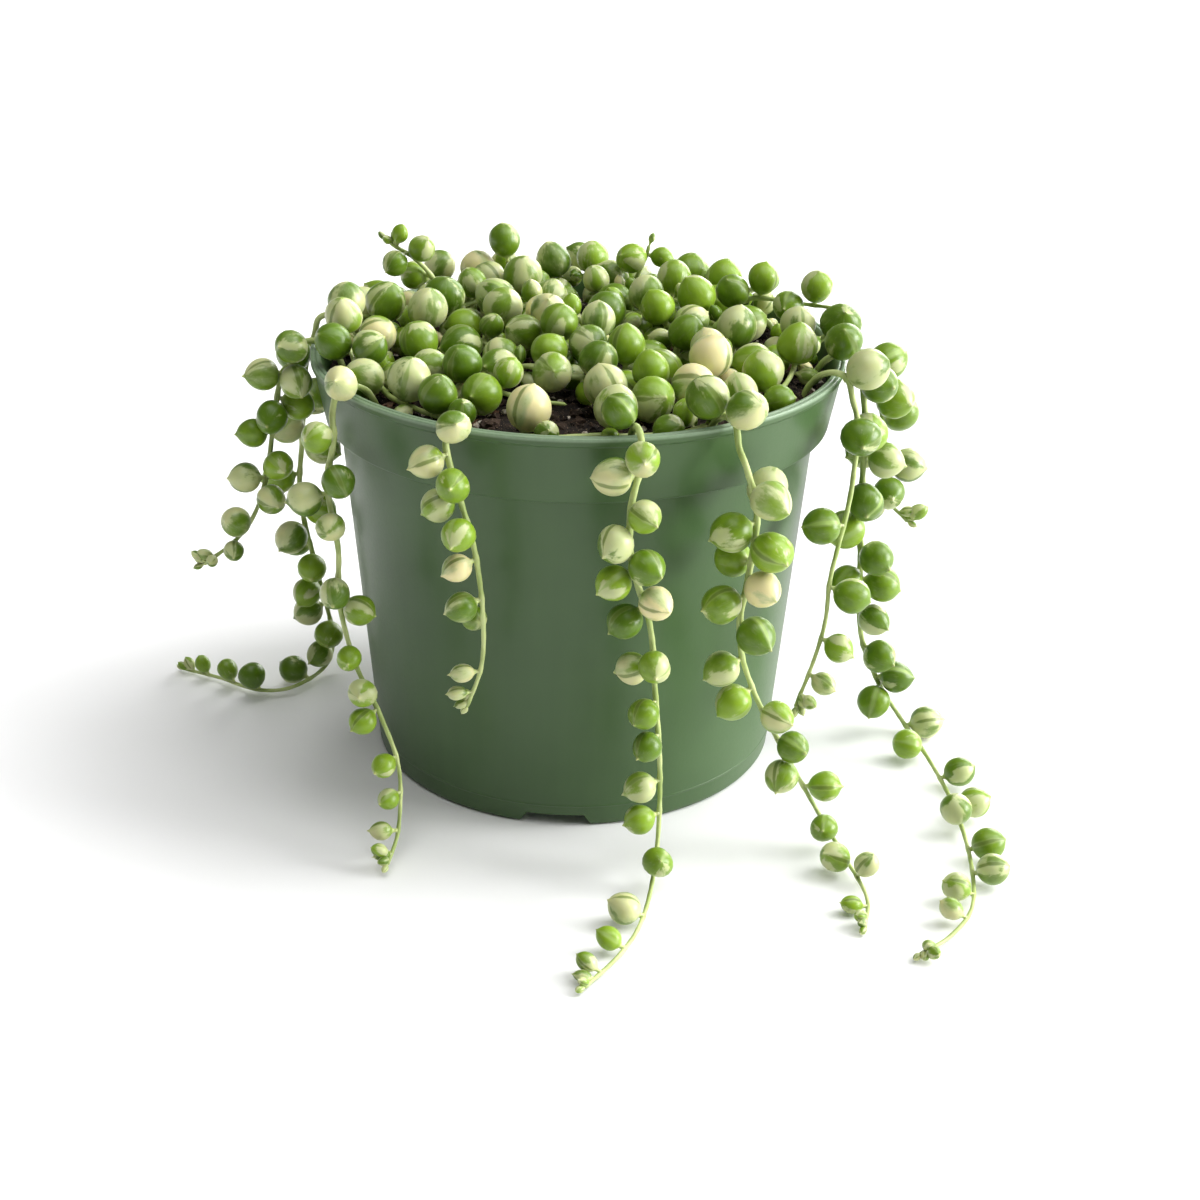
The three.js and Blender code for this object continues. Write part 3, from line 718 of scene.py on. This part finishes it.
def soil_material():
    """Dark moist potting mix; each crumb's own tone lies in an attribute."""
    n = Nodes("potting_mix")
    own, _, _ = n.attribute("crumb_tone")
    lumps = n.noise(n.place(), 420.0, 4.0, 0.6)
    grit = n.noise(n.place(), 2400.0, 3.0, 0.6)
    tone = n.math("MULTIPLY_ADD", lumps, 0.6, n.times(own, 0.5))
    color = n.mix(n.smooth(tone, 0.3, 0.85), SOIL_DARK, SOIL_BROWN)
    fleck = n.mix(n.smooth(grit, 0.62, 0.68), color, SOIL_FLECK)
    n.bump(n.math("MULTIPLY_ADD", lumps, 0.7, grit), 0.8, 0.0006)
    return n.set(Base_Color=fleck, Roughness=n.between(grit, 0.7, 0.98), Specular_IOR_Level=0.25)


def bits_material(name, stretch, grain, tones, bump, roughness):
    """Pores or fibres in two tones, for perlite and bark."""
    n = Nodes(name)
    pores = n.noise(n.stretched(*stretch), *grain)
    n.bump(pores, *bump)
    color = n.mix(n.smooth(pores, 0.3, 0.7), *tones)
    return n.set(Base_Color=color, Roughness=n.between(pores, *roughness))


def floor_material():
    """A plain pale surface with painted shade: a little darker near the part and paler away from
    it.
    """
    n = Nodes("studio_floor")
    haze = n.noise(n.place(), 3.0, 2.0)
    from_part = n.add("ShaderNodeVectorMath", n.place(), operation="LENGTH").outputs["Value"]
    distance = n.math("MULTIPLY_ADD", haze, 0.1, from_part)
    # Painted shade: darker near the part and paler farther off, with a noise on the distance.
    color = n.mix(n.smooth(distance, 0.12, 0.6), FLOOR_NEAR_SHADED, FLOOR_FAR)
    return n.set(Base_Color=color, Roughness=n.between(haze, 0.7, 0.8), Specular_IOR_Level=0.1)


# ---- mesh building
class Parts:
    """Gathers closed shells into one mesh, with a vector attribute or two on its points."""

    def __init__(self, *attributes):
        self.points, self.faces, self.slots = [], [], []
        self.values = {name: [] for name in attributes}
        self.count = 0

    def add(self, points, faces, slot=0, **values):
        self.points.append(np.asarray(points, float))
        self.faces += [tuple(i + self.count for i in face) for face in faces]
        self.slots += [slot] * len(faces)
        for name, gathered in self.values.items():
            value = np.asarray(values.get(name, (0, 0, 0)), float)
            gathered.append(np.broadcast_to(value, (len(points), 3)))
        self.count += len(points)

    def piece(self, name, materials, smooth=True):
        """The gathered shells as one object, which rides on the part's body."""
        mesh = new_mesh(name, np.vstack(self.points), self.faces)
        mesh.polygons.foreach_set("material_index", self.slots)
        mesh.polygons.foreach_set("use_smooth", [smooth] * len(self.faces))
        for attribute, gathered in self.values.items():
            layer = mesh.attributes.new(attribute, "FLOAT_VECTOR", "POINT")
            layer.data.foreach_set("vector", np.vstack(gathered).astype(np.float32).ravel())
        for material in materials:
            mesh.materials.append(material)
        mesh.update()
        made = new_object(name, mesh)
        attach(made, "root")
        return made


def new_mesh(name, points, faces):
    """A mesh from points in millimetres."""
    mesh = bpy.data.meshes.new(name)
    mesh.from_pydata((np.asarray(points) * MM).tolist(), [], faces)
    return mesh


def new_object(name, data):
    made = bpy.data.objects.new(name, data)
    bpy.context.scene.collection.objects.link(made)
    return made


def ring_points(x, y, z):
    """Points of rings one after another, each at its own z."""
    return np.stack([x, y, np.broadcast_to(z, x.shape)], -1).reshape(-1, 3)


def ring_faces(rings, columns):
    """Faces of a closed body of rings between two pole points, which come last."""
    first_pole, last_pole = rings * columns, rings * columns + 1
    faces = []
    for j in range(columns):
        k = (j + 1) % columns
        faces.append((first_pole, k, j))
        for i in range(rings - 1):
            a, b = i * columns, (i + 1) * columns
            faces.append((a + j, a + k, b + k, b + j))
        top = (rings - 1) * columns
        faces.append((top + j, top + k, last_pole))
    return faces


def upright_frame(axis, towards):
    """Columns x, y, z of a turned frame: z along the axis, x near a wished direction."""
    x = towards - axis * np.dot(towards, axis)
    x = unit(x) if np.linalg.norm(x) > 1e-6 else unit(np.cross(axis, (0.3, 0.5, 0.8)))
    return np.column_stack([x, np.cross(axis, x), axis])


# ---- pearls and stems
def pearl_columns():
    """Angles round a pearl, closest together at its window slit."""
    u = np.arange(PEARL_COLUMNS) / (PEARL_COLUMNS / 2) - 1
    return np.pi * np.sign(u) * np.abs(u) ** 1.5


PEARL_ANGLES = pearl_columns()
PEARL_FACES = ring_faces(PEARL_RINGS + 7, PEARL_COLUMNS)


def pearl_outline(radius, stalk, lemon, youth, pointed):
    """Radius and height of each ring from the stem out: stalk, berry, drawn-out tip."""
    thick = min(STALK_RADIUS, 0.16 * radius + 0.1)
    middle = radius + stalk
    nib = PEARL_POINT * min(1, radius / 2.4) * pointed
    polar_angle = np.radians(np.linspace(mix(28, 40, youth), 154, PEARL_RINGS))
    outer = np.clip(-np.cos(polar_angle), 0, 1) ** 2
    across = radius * np.sin(polar_angle) * (1 - 0.3 * lemon * outer)
    berry = np.column_stack([across, middle - radius * np.cos(polar_angle)])
    start = [
        (thick * 1.4, 0.1),
        (thick * 1.05, 0.45 * stalk),
        (thick * 1.35, 0.85 * stalk),
        (mix(thick * 1.35, across[0], 0.5), mix(0.85 * stalk, berry[0, 1], 0.62)),
    ]
    point = [
        (radius * mix(0.24, 0.16, lemon), middle + radius * 0.99),
        (radius * 0.09, middle + radius + 0.45 * nib),
        (radius * 0.035, middle + radius + 0.85 * nib),
    ]
    return np.vstack([start, berry, point]), middle + radius + nib


YOUNG_RADIUS = 3
BLUNT_UPRIGHT = 0.6  # share of its point and taper that a pearl loses straight up
EGG = (-0.11, 0.09)  # a pearl's taper towards its point
DENTS = ((2, 0.022, 1.3), (3, 0.016, -2))  # waves round a pearl, their depth and twist
OVAL, BEND = 0.09, 0.16
OUTWARD_TURN = 75  # degrees by which the window slit may turn from outward
# Least and greatest share of pale, by a pearl's tone.
TONE_SHARES = {"g": (0.24, 0.39), "h": (0.43, 0.49), "v": (0.47, 0.56), "c": (0.60, 0.74)}


def pearl_shape(radius, stalk, blunt, random):
    """A pearl's points from its stalk's foot up, and its attribute pearl_place."""
    lemon = mix(1, 0.6, min(1, radius / 4)) * random() * (1 - blunt)
    youth = np.clip((YOUNG_RADIUS - radius) / 1.5, 0, 1)
    outline, end = pearl_outline(radius, stalk, lemon, youth, mix(0.5, 1, random()) * (1 - blunt))
    rho, z = outline[:, :1] * (0.97 - 0.32 * youth), outline[:, 1:]
    height = (z - radius - stalk) / radius
    egg = mix(*EGG, random())
    dents = 0
    for waves, depth, twist in DENTS:
        phase = 2 * pi * random()
        dents = dents + depth * np.sin(waves * PEARL_ANGLES + phase + twist * height)
    rho = rho * (1 + egg * np.clip(height, -1, 1)) * (1 + dents)
    slit = np.exp(-(np.degrees(PEARL_ANGLES) / WINDOW_WIDTH) ** 2)
    reach = np.clip(1.4 - 1.5 * np.abs(height - 0.1), 0, 1)
    oval = 1 + OVAL * (random() - 0.5) * np.cos(2 * PEARL_ANGLES)
    rho = rho * (1 - WINDOW_DEPTH * slit * reach) * oval
    bend = radius * BEND * (random() - 0.5) * np.clip(height, 0, None) ** 2
    x, y = rho * np.cos(PEARL_ANGLES), rho * np.sin(PEARL_ANGLES)
    local = [ring_points(x + bend, y, z), (0, 0, 0), (bend[-1, 0], 0, end)]
    last = (end - radius - stalk) / radius
    place = [ring_points(x / radius, y / radius, height), (0, 0, height[0, 0]), (0, 0, last)]
    return np.vstack(local), np.vstack(place)


def add_pearl(parts, pearl, random):
    """A pearl with its window slit turned outward and up, more or less."""
    base, axis = pearl["base"], pearl["axis"]
    blunt = BLUNT_UPRIGHT * max(0, axis[2])
    local, place = pearl_shape(pearl["radius"], pearl.get("stalk", PEDICEL), blunt, random)
    outward = unit(np.array([base[0], base[1], 1.0])) * 0.6 + np.array([0, 0, 0.5])
    turn = radians(mix(-OUTWARD_TURN, OUTWARD_TURN, random()))
    upright = upright_frame(axis, turned_about(outward, axis, turn))
    kind = (mix(*TONE_SHARES[pearl["tone"]], random()), random(), random())
    parts.add(local @ upright.T + base, PEARL_FACES, 1, pearl_place=place, pearl_kind=kind)


def add_stem_tube(parts, stem):
    """A tapered tube along the stem, a little thicker where each pearl's stalk leaves it."""
    steps = int(stem.length / STEM_LOOK_STEP)
    line = stem.curve.spaced(steps)
    along = np.linspace(0, stem.length, steps + 1)
    radius = mix(*STEM_LOOK_RADIUS, along / stem.length)
    for pearl in stem.pearls:
        radius = radius * (1 + 0.2 * np.exp(-((along - pearl["along"]) / 0.9) ** 2))
    radius = radius * (1 + 0.05 * np.sin(along * 1.7 + stem.number))
    tangent = np.gradient(line, axis=0)
    side = np.array([0.31, 0.47, 0.83])
    angles = full_turn(STEM_SIDES)
    rings = []
    for place, run, r in zip(line, tangent, radius):
        turn = upright_frame(unit(run), side)
        side = turn[:, 0]
        circle = np.column_stack([np.cos(angles), np.sin(angles), 0 * angles]) * r
        rings.append(circle @ turn.T + place)
    poles = [line[0] - unit(tangent[0]) * 0.1, line[-1] + unit(tangent[-1]) * 0.5]
    points = np.vstack([*rings, *poles])
    parts.add(points, ring_faces(steps + 1, STEM_SIDES))


# Distance from the stem's end, radius and sideways lean of each bud.
BUDS = ((2.6, 1.7, 1.3), (1.2, 1.35, 0.9), (0.1, 1.05, 0.25))
BUD_STALK = 0.45
BUDDED = ("strand", "shoot_back_left")  # how the names of stems with buds start
LOOKS_SEED = 7001


def terminal_buds(stem, random):
    """The youngest pearls, which end a stem. None of them reaches below the surface."""
    buds = []
    for back, radius, spread in BUDS:
        base, tangent = stem.spine_at((stem.length - back) / stem.length)
        side = upright_frame(tangent, stem.pearls[-1]["axis"])[:, 0]
        side = turned_about(side, tangent, radians(mix(-50, 50, random())))
        axis = unit(side * spread + tangent)
        axis[2] = max(axis[2], (radius + OWN_GAP - base[2]) / (radius + BUD_STALK))
        buds.append(dict(base=base, axis=unit(axis), radius=radius, stalk=BUD_STALK, tone="v"))
    return buds


def make_leafy_stem(stem, materials):
    parts = Parts("pearl_place", "pearl_kind")
    random = seeded_random(LOOKS_SEED + 13 * stem.number)
    add_stem_tube(parts, stem)
    for pearl in stem.pearls:
        add_pearl(parts, pearl, random)
    if stem.name.startswith(BUDDED):
        for bud in terminal_buds(stem, random):
            add_pearl(parts, bud, random)
    leafy = parts.piece(f"{stem.name}_pearls", materials)
    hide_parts(stem.name)


# ---- pot
CORNER_STEPS = 4


def rounded(before, corner, after, radius):
    """Points of an arc-like bend in place of a corner between two outline points."""
    before, corner, after = (np.array(p, float) for p in (before, corner, after))
    start = corner + unit(before - corner) * radius
    end = corner + unit(after - corner) * radius
    t = np.linspace(0, 1, CORNER_STEPS + 1)[:, None]
    return ((1 - t) ** 2 * start + 2 * t * (1 - t) * corner + t**2 * end).tolist()


# The mould line round the foot: its height, how far it stands out, and half its width.
LINE_HEIGHT, LINE_PROUD, LINE_HALF = 4.8, 0.14, 0.3
BODY_SLOPE = (BODY_TOP_RADIUS - FOOT_RADIUS) / BAND_BOTTOM
LINE_RADIUS = FOOT_RADIUS + BODY_SLOPE * LINE_HEIGHT
FLOOR_TOP = BASE_RECESS + WALL
# ([radius, height], rounding) of each corner of the pot's outline.
POT_CORNERS = [
    ((0, 0), 0),
    ((BASE_PAD_RADIUS, 0), 0.3),
    ((BASE_PAD_RADIUS + 1, BASE_RECESS), 0.3),
    ((FOOT_RADIUS - FOOT_RING_WIDTH - 1, BASE_RECESS), 0.3),
    ((FOOT_RADIUS - FOOT_RING_WIDTH, 0), 0.3),
    ((FOOT_RADIUS, 0), 1.2),
    ((LINE_RADIUS - BODY_SLOPE * LINE_HALF, LINE_HEIGHT - LINE_HALF), 0.08),
    ((LINE_RADIUS + LINE_PROUD, LINE_HEIGHT), 0.1),
    ((LINE_RADIUS + BODY_SLOPE * LINE_HALF, LINE_HEIGHT + LINE_HALF), 0.08),
    ((BODY_TOP_RADIUS, BAND_BOTTOM), 0.5),
    ((BAND_RADIUS, BAND_BOTTOM), 0.55),
    ((RIM_RADIUS - 0.5, POT_HEIGHT - 1.9), 0.15),
    ((RIM_RADIUS, POT_HEIGHT - 1.5), 0.2),
    ((RIM_RADIUS, POT_HEIGHT), 0.3),
    ((RIM_RADIUS - 0.75, POT_HEIGHT), 0.15),
    ((RIM_RADIUS - 0.95, POT_HEIGHT - 0.28), 0.1),
    ((RIM_RADIUS - 1.15, POT_HEIGHT), 0.15),
    ((RIM_RADIUS - LIP_WIDTH, POT_HEIGHT), 0.25),
    ((MOUTH_RADIUS, POT_HEIGHT - 2 * LIP_FLARE), 0.4),
    ((BAND_RADIUS - WALL - 0.9, BAND_BOTTOM + 1), 0.4),
    ((BODY_TOP_RADIUS - WALL, BAND_BOTTOM - 1), 0.4),
    ((FOOT_RADIUS - WALL + 0.3, FLOOR_TOP), 0.5),
    ((0, FLOOR_TOP), 0),
]


def pot_outline():
    """[radius, height] from the underside's middle, up the outside and down the inside."""
    points = []
    for i, (corner, radius) in enumerate(POT_CORNERS):
        if radius:
            points += rounded(POT_CORNERS[i - 1][0], corner, POT_CORNERS[i + 1][0], radius)
        else:
            points.append(list(corner))
    return points


def turned_mesh(name, outline, sides):
    """A closed turned mesh about Z; the outline starts and ends on the axis."""
    rings = np.array(outline[1:-1])
    angles = full_turn(sides)
    x, y = rings[:, :1] * np.cos(angles), rings[:, :1] * np.sin(angles)
    poles = [(0, 0, outline[0][1]), (0, 0, outline[-1][1])]
    points = np.vstack([ring_points(x, y, rings[:, 1:]), *poles])
    return new_mesh(name, points, ring_faces(len(rings), sides))


def cutter(name, size, angle, radius, height, sides=4, flare=1):
    """A box or prism that cuts the pot, at an angle round it, wider by flare at its foot."""
    half = np.array(size, float) / 2
    around = full_turn(sides) + pi / sides
    scale = 1 / cos(pi / sides)
    ring = np.column_stack([np.cos(around), np.sin(around)]) * scale * half[:2]
    foot = np.column_stack([ring * (1, flare), np.full(sides, -half[2])])
    points = np.vstack([foot, np.column_stack([ring, np.full(sides, half[2])])])
    lower, upper = tuple(range(sides))[::-1], tuple(range(sides, 2 * sides))
    walls = [(j, (j + 1) % sides, sides + (j + 1) % sides, sides + j) for j in range(sides)]
    made = new_object(name, new_mesh(name, points, [lower, upper, *walls]))
    out = Matrix.Translation(Vector((radius, 0, height)) * MM)
    made.matrix_world = Matrix.Rotation(radians(angle), 4, "Z") @ out
    return made


def cut_away(pot, cutters):
    """Cuts the pot's mesh, and takes the cutters out of the scene."""
    for tool in cutters:
        cut = pot.modifiers.new(tool.name, "BOOLEAN")
        cut.object = tool
        cut.operation = "DIFFERENCE"
        cut.solver = "EXACT"
    bpy.context.view_layer.update()
    evaluated = pot.evaluated_get(bpy.context.evaluated_depsgraph_get())
    mesh = bpy.data.meshes.new_from_object(evaluated)
    pot.modifiers.clear()
    pot.data = mesh
    for tool in cutters:
        bpy.data.objects.remove(tool)


def make_pot():
    pot = new_object("grower_pot", turned_mesh("grower_pot", pot_outline(), POT_SIDES))
    notch = (FOOT_RING_WIDTH + 4, NOTCH_WIDTH, NOTCH_HEIGHT * 2)
    notch_middle = FOOT_RADIUS - FOOT_RING_WIDTH / 2 + 0.2
    drain = (DRAIN_RADIUS * 2, DRAIN_RADIUS * 2, WALL * 4)
    cut_away(pot, [
        cutter("notch", notch, NOTCH_ANGLE + 360 / NOTCH_COUNT * i, notch_middle, 0, flare=1.6)
        for i in range(NOTCH_COUNT)
    ] + [
        cutter("drain", drain, 360 / DRAIN_COUNT * (i + 0.5), DRAIN_CIRCLE, BASE_RECESS, 24)
        for i in range(DRAIN_COUNT)
    ])
    mesh = pot.data
    mesh.polygons.foreach_set("use_smooth", [True] * len(mesh.polygons))
    mesh.set_sharp_from_angle(angle=radians(35))
    mesh.materials.clear()
    mesh.materials.append(pot_material())
    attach(pot, "root")
    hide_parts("pot")


# ---- soil
SOIL_LOOSE, SOIL_RELIEF = 0.9, 0.75
SOIL_WAVES = ((5.2, 3.1, 0.7), (1.9, 8.4, 0.5), (0.8, 5.7, 0.35))  # length, seed, share
CRUMB_SHAPE = ((0.7, 1.3), (0.6, 1.1), (0.5, 0.9))
CRUMB_TURN, CRUMB_TILT = 6.28, 0.6  # radians; the first is about a full turn
CRUMB_DENTS = 0.55
CRUMB_RISE = (-0.2, 0.6)  # of its middle over the soil, in halves of its height


def soil_height(x, y):
    """The loose top of the potting mix, over the flat top of the soil's solid."""
    relief = 0
    for length, seed, share in SOIL_WAVES:
        relief += share * noise.noise(Vector((x / length, y / length, seed)))
    return SOIL_TOP + SOIL_LOOSE + SOIL_RELIEF * relief


def make_soil_surface(material):
    """A thin closed body with a rough top."""
    rings, columns, edge = 62, 220, MOUTH_RADIUS - 1.1
    bottom = SOIL_TOP + 0.05
    angles = full_turn(columns)
    radii = edge * np.sqrt((np.arange(rings) + 1) / rings)
    points = [(edge * cos(a), edge * sin(a), bottom) for a in angles]
    for radius in radii[::-1]:
        for a in angles:
            x, y = radius * cos(a), radius * sin(a)
            points.append((x, y, soil_height(x, y)))
    points += [(0, 0, bottom), (0, 0, soil_height(0, 0))]
    parts = Parts("crumb_tone")
    parts.add(points, ring_faces(rings + 1, columns), crumb_tone=(0.3, 0, 0))
    surface = parts.piece("soil_surface", [material])


def lump_shape():
    """A ball of 42 points, to be dented into crumbs."""
    made = bmesh.new()
    bmesh.ops.create_icosphere(made, subdivisions=2, radius=1)
    points = np.array([v.co[:] for v in made.verts])
    faces = [tuple(v.index for v in f.verts) for f in made.faces]
    made.free()
    return points, faces


def scatter(name, count, size, flat, seed, material):
    """Dented lumps strewn over the soil, each with its own size, turn and tone."""
    points, faces = lump_shape()
    random = seeded_random(seed)
    parts = Parts("crumb_tone")
    for _ in range(count):
        radius = (MOUTH_RADIUS - 2.2) * sqrt(random())
        x, y = polar(360 * random(), radius)
        half = 0.5 * mix(*size, random() ** 2)
        shape = np.array([mix(*ends, random()) for ends in CRUMB_SHAPE]) * (1, 1, flat)
        shift = 40 * random()
        dents = np.array([noise.noise(Vector(p * 1.3) + Vector((shift, 0, 0))) for p in points])
        turn = Matrix.Rotation(CRUMB_TURN * random(), 3, "Z")
        turn = turn @ Matrix.Rotation(mix(-CRUMB_TILT, CRUMB_TILT, random()), 3, "X")
        lump = (points * (1 + CRUMB_DENTS * dents[:, None]) * shape * half) @ np.array(turn).T
        z = soil_height(x, y) + half * shape[2] * mix(*CRUMB_RISE, random())
        parts.add(lump + (x, y, z), faces, crumb_tone=(random(), 0, 0))
    strewn = parts.piece(name, [material], smooth=False)


def make_soil():
    potting_mix = soil_material()
    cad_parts["soil"].data.materials.clear()
    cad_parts["soil"].data.materials.append(potting_mix)
    make_soil_surface(potting_mix)
    scatter("soil_crumbs", CRUMBS, (0.9, 3.0), 1, 811, potting_mix)
    perlite = bits_material(
        "perlite", stretch=(1, 1, 1), grain=(1800.0, 3.0, 0.6), tones=PERLITE_TONES,
        bump=(0.7, 0.0003), roughness=(0.75, 0.95),
    )
    bark = bits_material(
        "bark", stretch=(1, 0.3, 1), grain=(1500.0, 3.0), tones=BARK_TONES,
        bump=(0.6, 0.0004), roughness=(0.6, 0.9),
    )
    scatter("perlite_grains", PERLITE, (0.5, 1.9), 1, 823, perlite)
    scatter("bark_bits", BARK, (2.0, 5.0), 0.45, 829, bark)


# ---- studio
# The photograph's camera, fitted to the pot's ellipses: it looks from CAMERA_DISTANCE
# at a height on the pot's axis, then is turned a little.
IMAGE_SIDE = 1200
FOCAL_PIXELS = 1828.239
SENSOR = 36
CAMERA_TARGET = (0, 0, 45)
CAMERA_DISTANCE = 390
ELEVATION, YAW, PITCH, ROLL = 23.669, 0.857, 1.961, 1.115
# Name, azimuth and elevation in degrees, strength, and spread in degrees. Azimuth 0 is
# the camera's side, 90 the right.
LIGHTS = [
    ("key", 98, 46, 1.9, 35),
    ("side", 86, 10, 5.3, 36),
    ("back", 148, 13, 2.4, 40),
    ("top", 60, 79, 1.9, 60),
]
WORLD_STRENGTH = 0.15
FLOOR_HALF = 6000


def make_camera():
    elevation, yaw, roll = (radians(v) for v in (ELEVATION, YAW, ROLL))
    down = radians(ELEVATION + PITCH)
    away = Vector((0, -cos(elevation), sin(elevation))) * CAMERA_DISTANCE
    level_part = cos(down)
    forward = Vector((sin(yaw) * level_part, cos(yaw) * level_part, -sin(down)))
    level = forward.cross(Vector((0, 0, 1))).normalized()
    up = level.cross(forward)
    right = level * cos(roll) + up * sin(roll)
    top = up * cos(roll) - level * sin(roll)
    data = bpy.data.cameras.new("camera")
    data.sensor_width = SENSOR
    data.lens = FOCAL_PIXELS / IMAGE_SIDE * SENSOR
    data.clip_start, data.clip_end = 0.01, 50
    camera = new_object("camera", data)
    axes = Matrix((right, top, -forward)).transposed().to_4x4()
    camera.matrix_world = Matrix.Translation((Vector(CAMERA_TARGET) + away) * MM) @ axes
    bpy.context.scene.camera = camera


def soft_light(name, azimuth, elevation, strength, spread):
    data = bpy.data.lights.new(name, "SUN")
    data.energy = strength
    data.angle = radians(spread)
    light = new_object(name, data)
    a, e = radians(azimuth), radians(elevation)
    towards = Vector((sin(a) * cos(e), -cos(a) * cos(e), sin(e)))
    light.rotation_mode = "QUATERNION"
    light.rotation_quaternion = towards.to_track_quat("Z", "Y")


def make_studio():
    for light in LIGHTS:
        soft_light(*light)
    world = bpy.data.worlds.new("studio")
    world.use_nodes = True
    sky = world.node_tree.nodes["Background"].inputs
    sky["Color"].default_value = (1, 1, 1, 1)
    sky["Strength"].default_value = WORLD_STRENGTH
    bpy.context.scene.world = world
    bpy.context.scene.view_settings.view_transform = "Standard"
    corners = np.array([(-1, -1, 0), (1, -1, 0), (1, 1, 0), (-1, 1, 0)]) * FLOOR_HALF
    floor = new_object("floor", new_mesh("floor", corners, [(0, 1, 2, 3)]))
    floor.data.materials.append(floor_material())


def main():
    make_camera()
    make_studio()
    make_pot()
    make_soil()
    leafy_materials = [stem_material(), pearl_material()]
    for stem in grow_plant():
        make_leafy_stem(stem, leafy_materials)
    bpy.context.view_layer.update()


main()
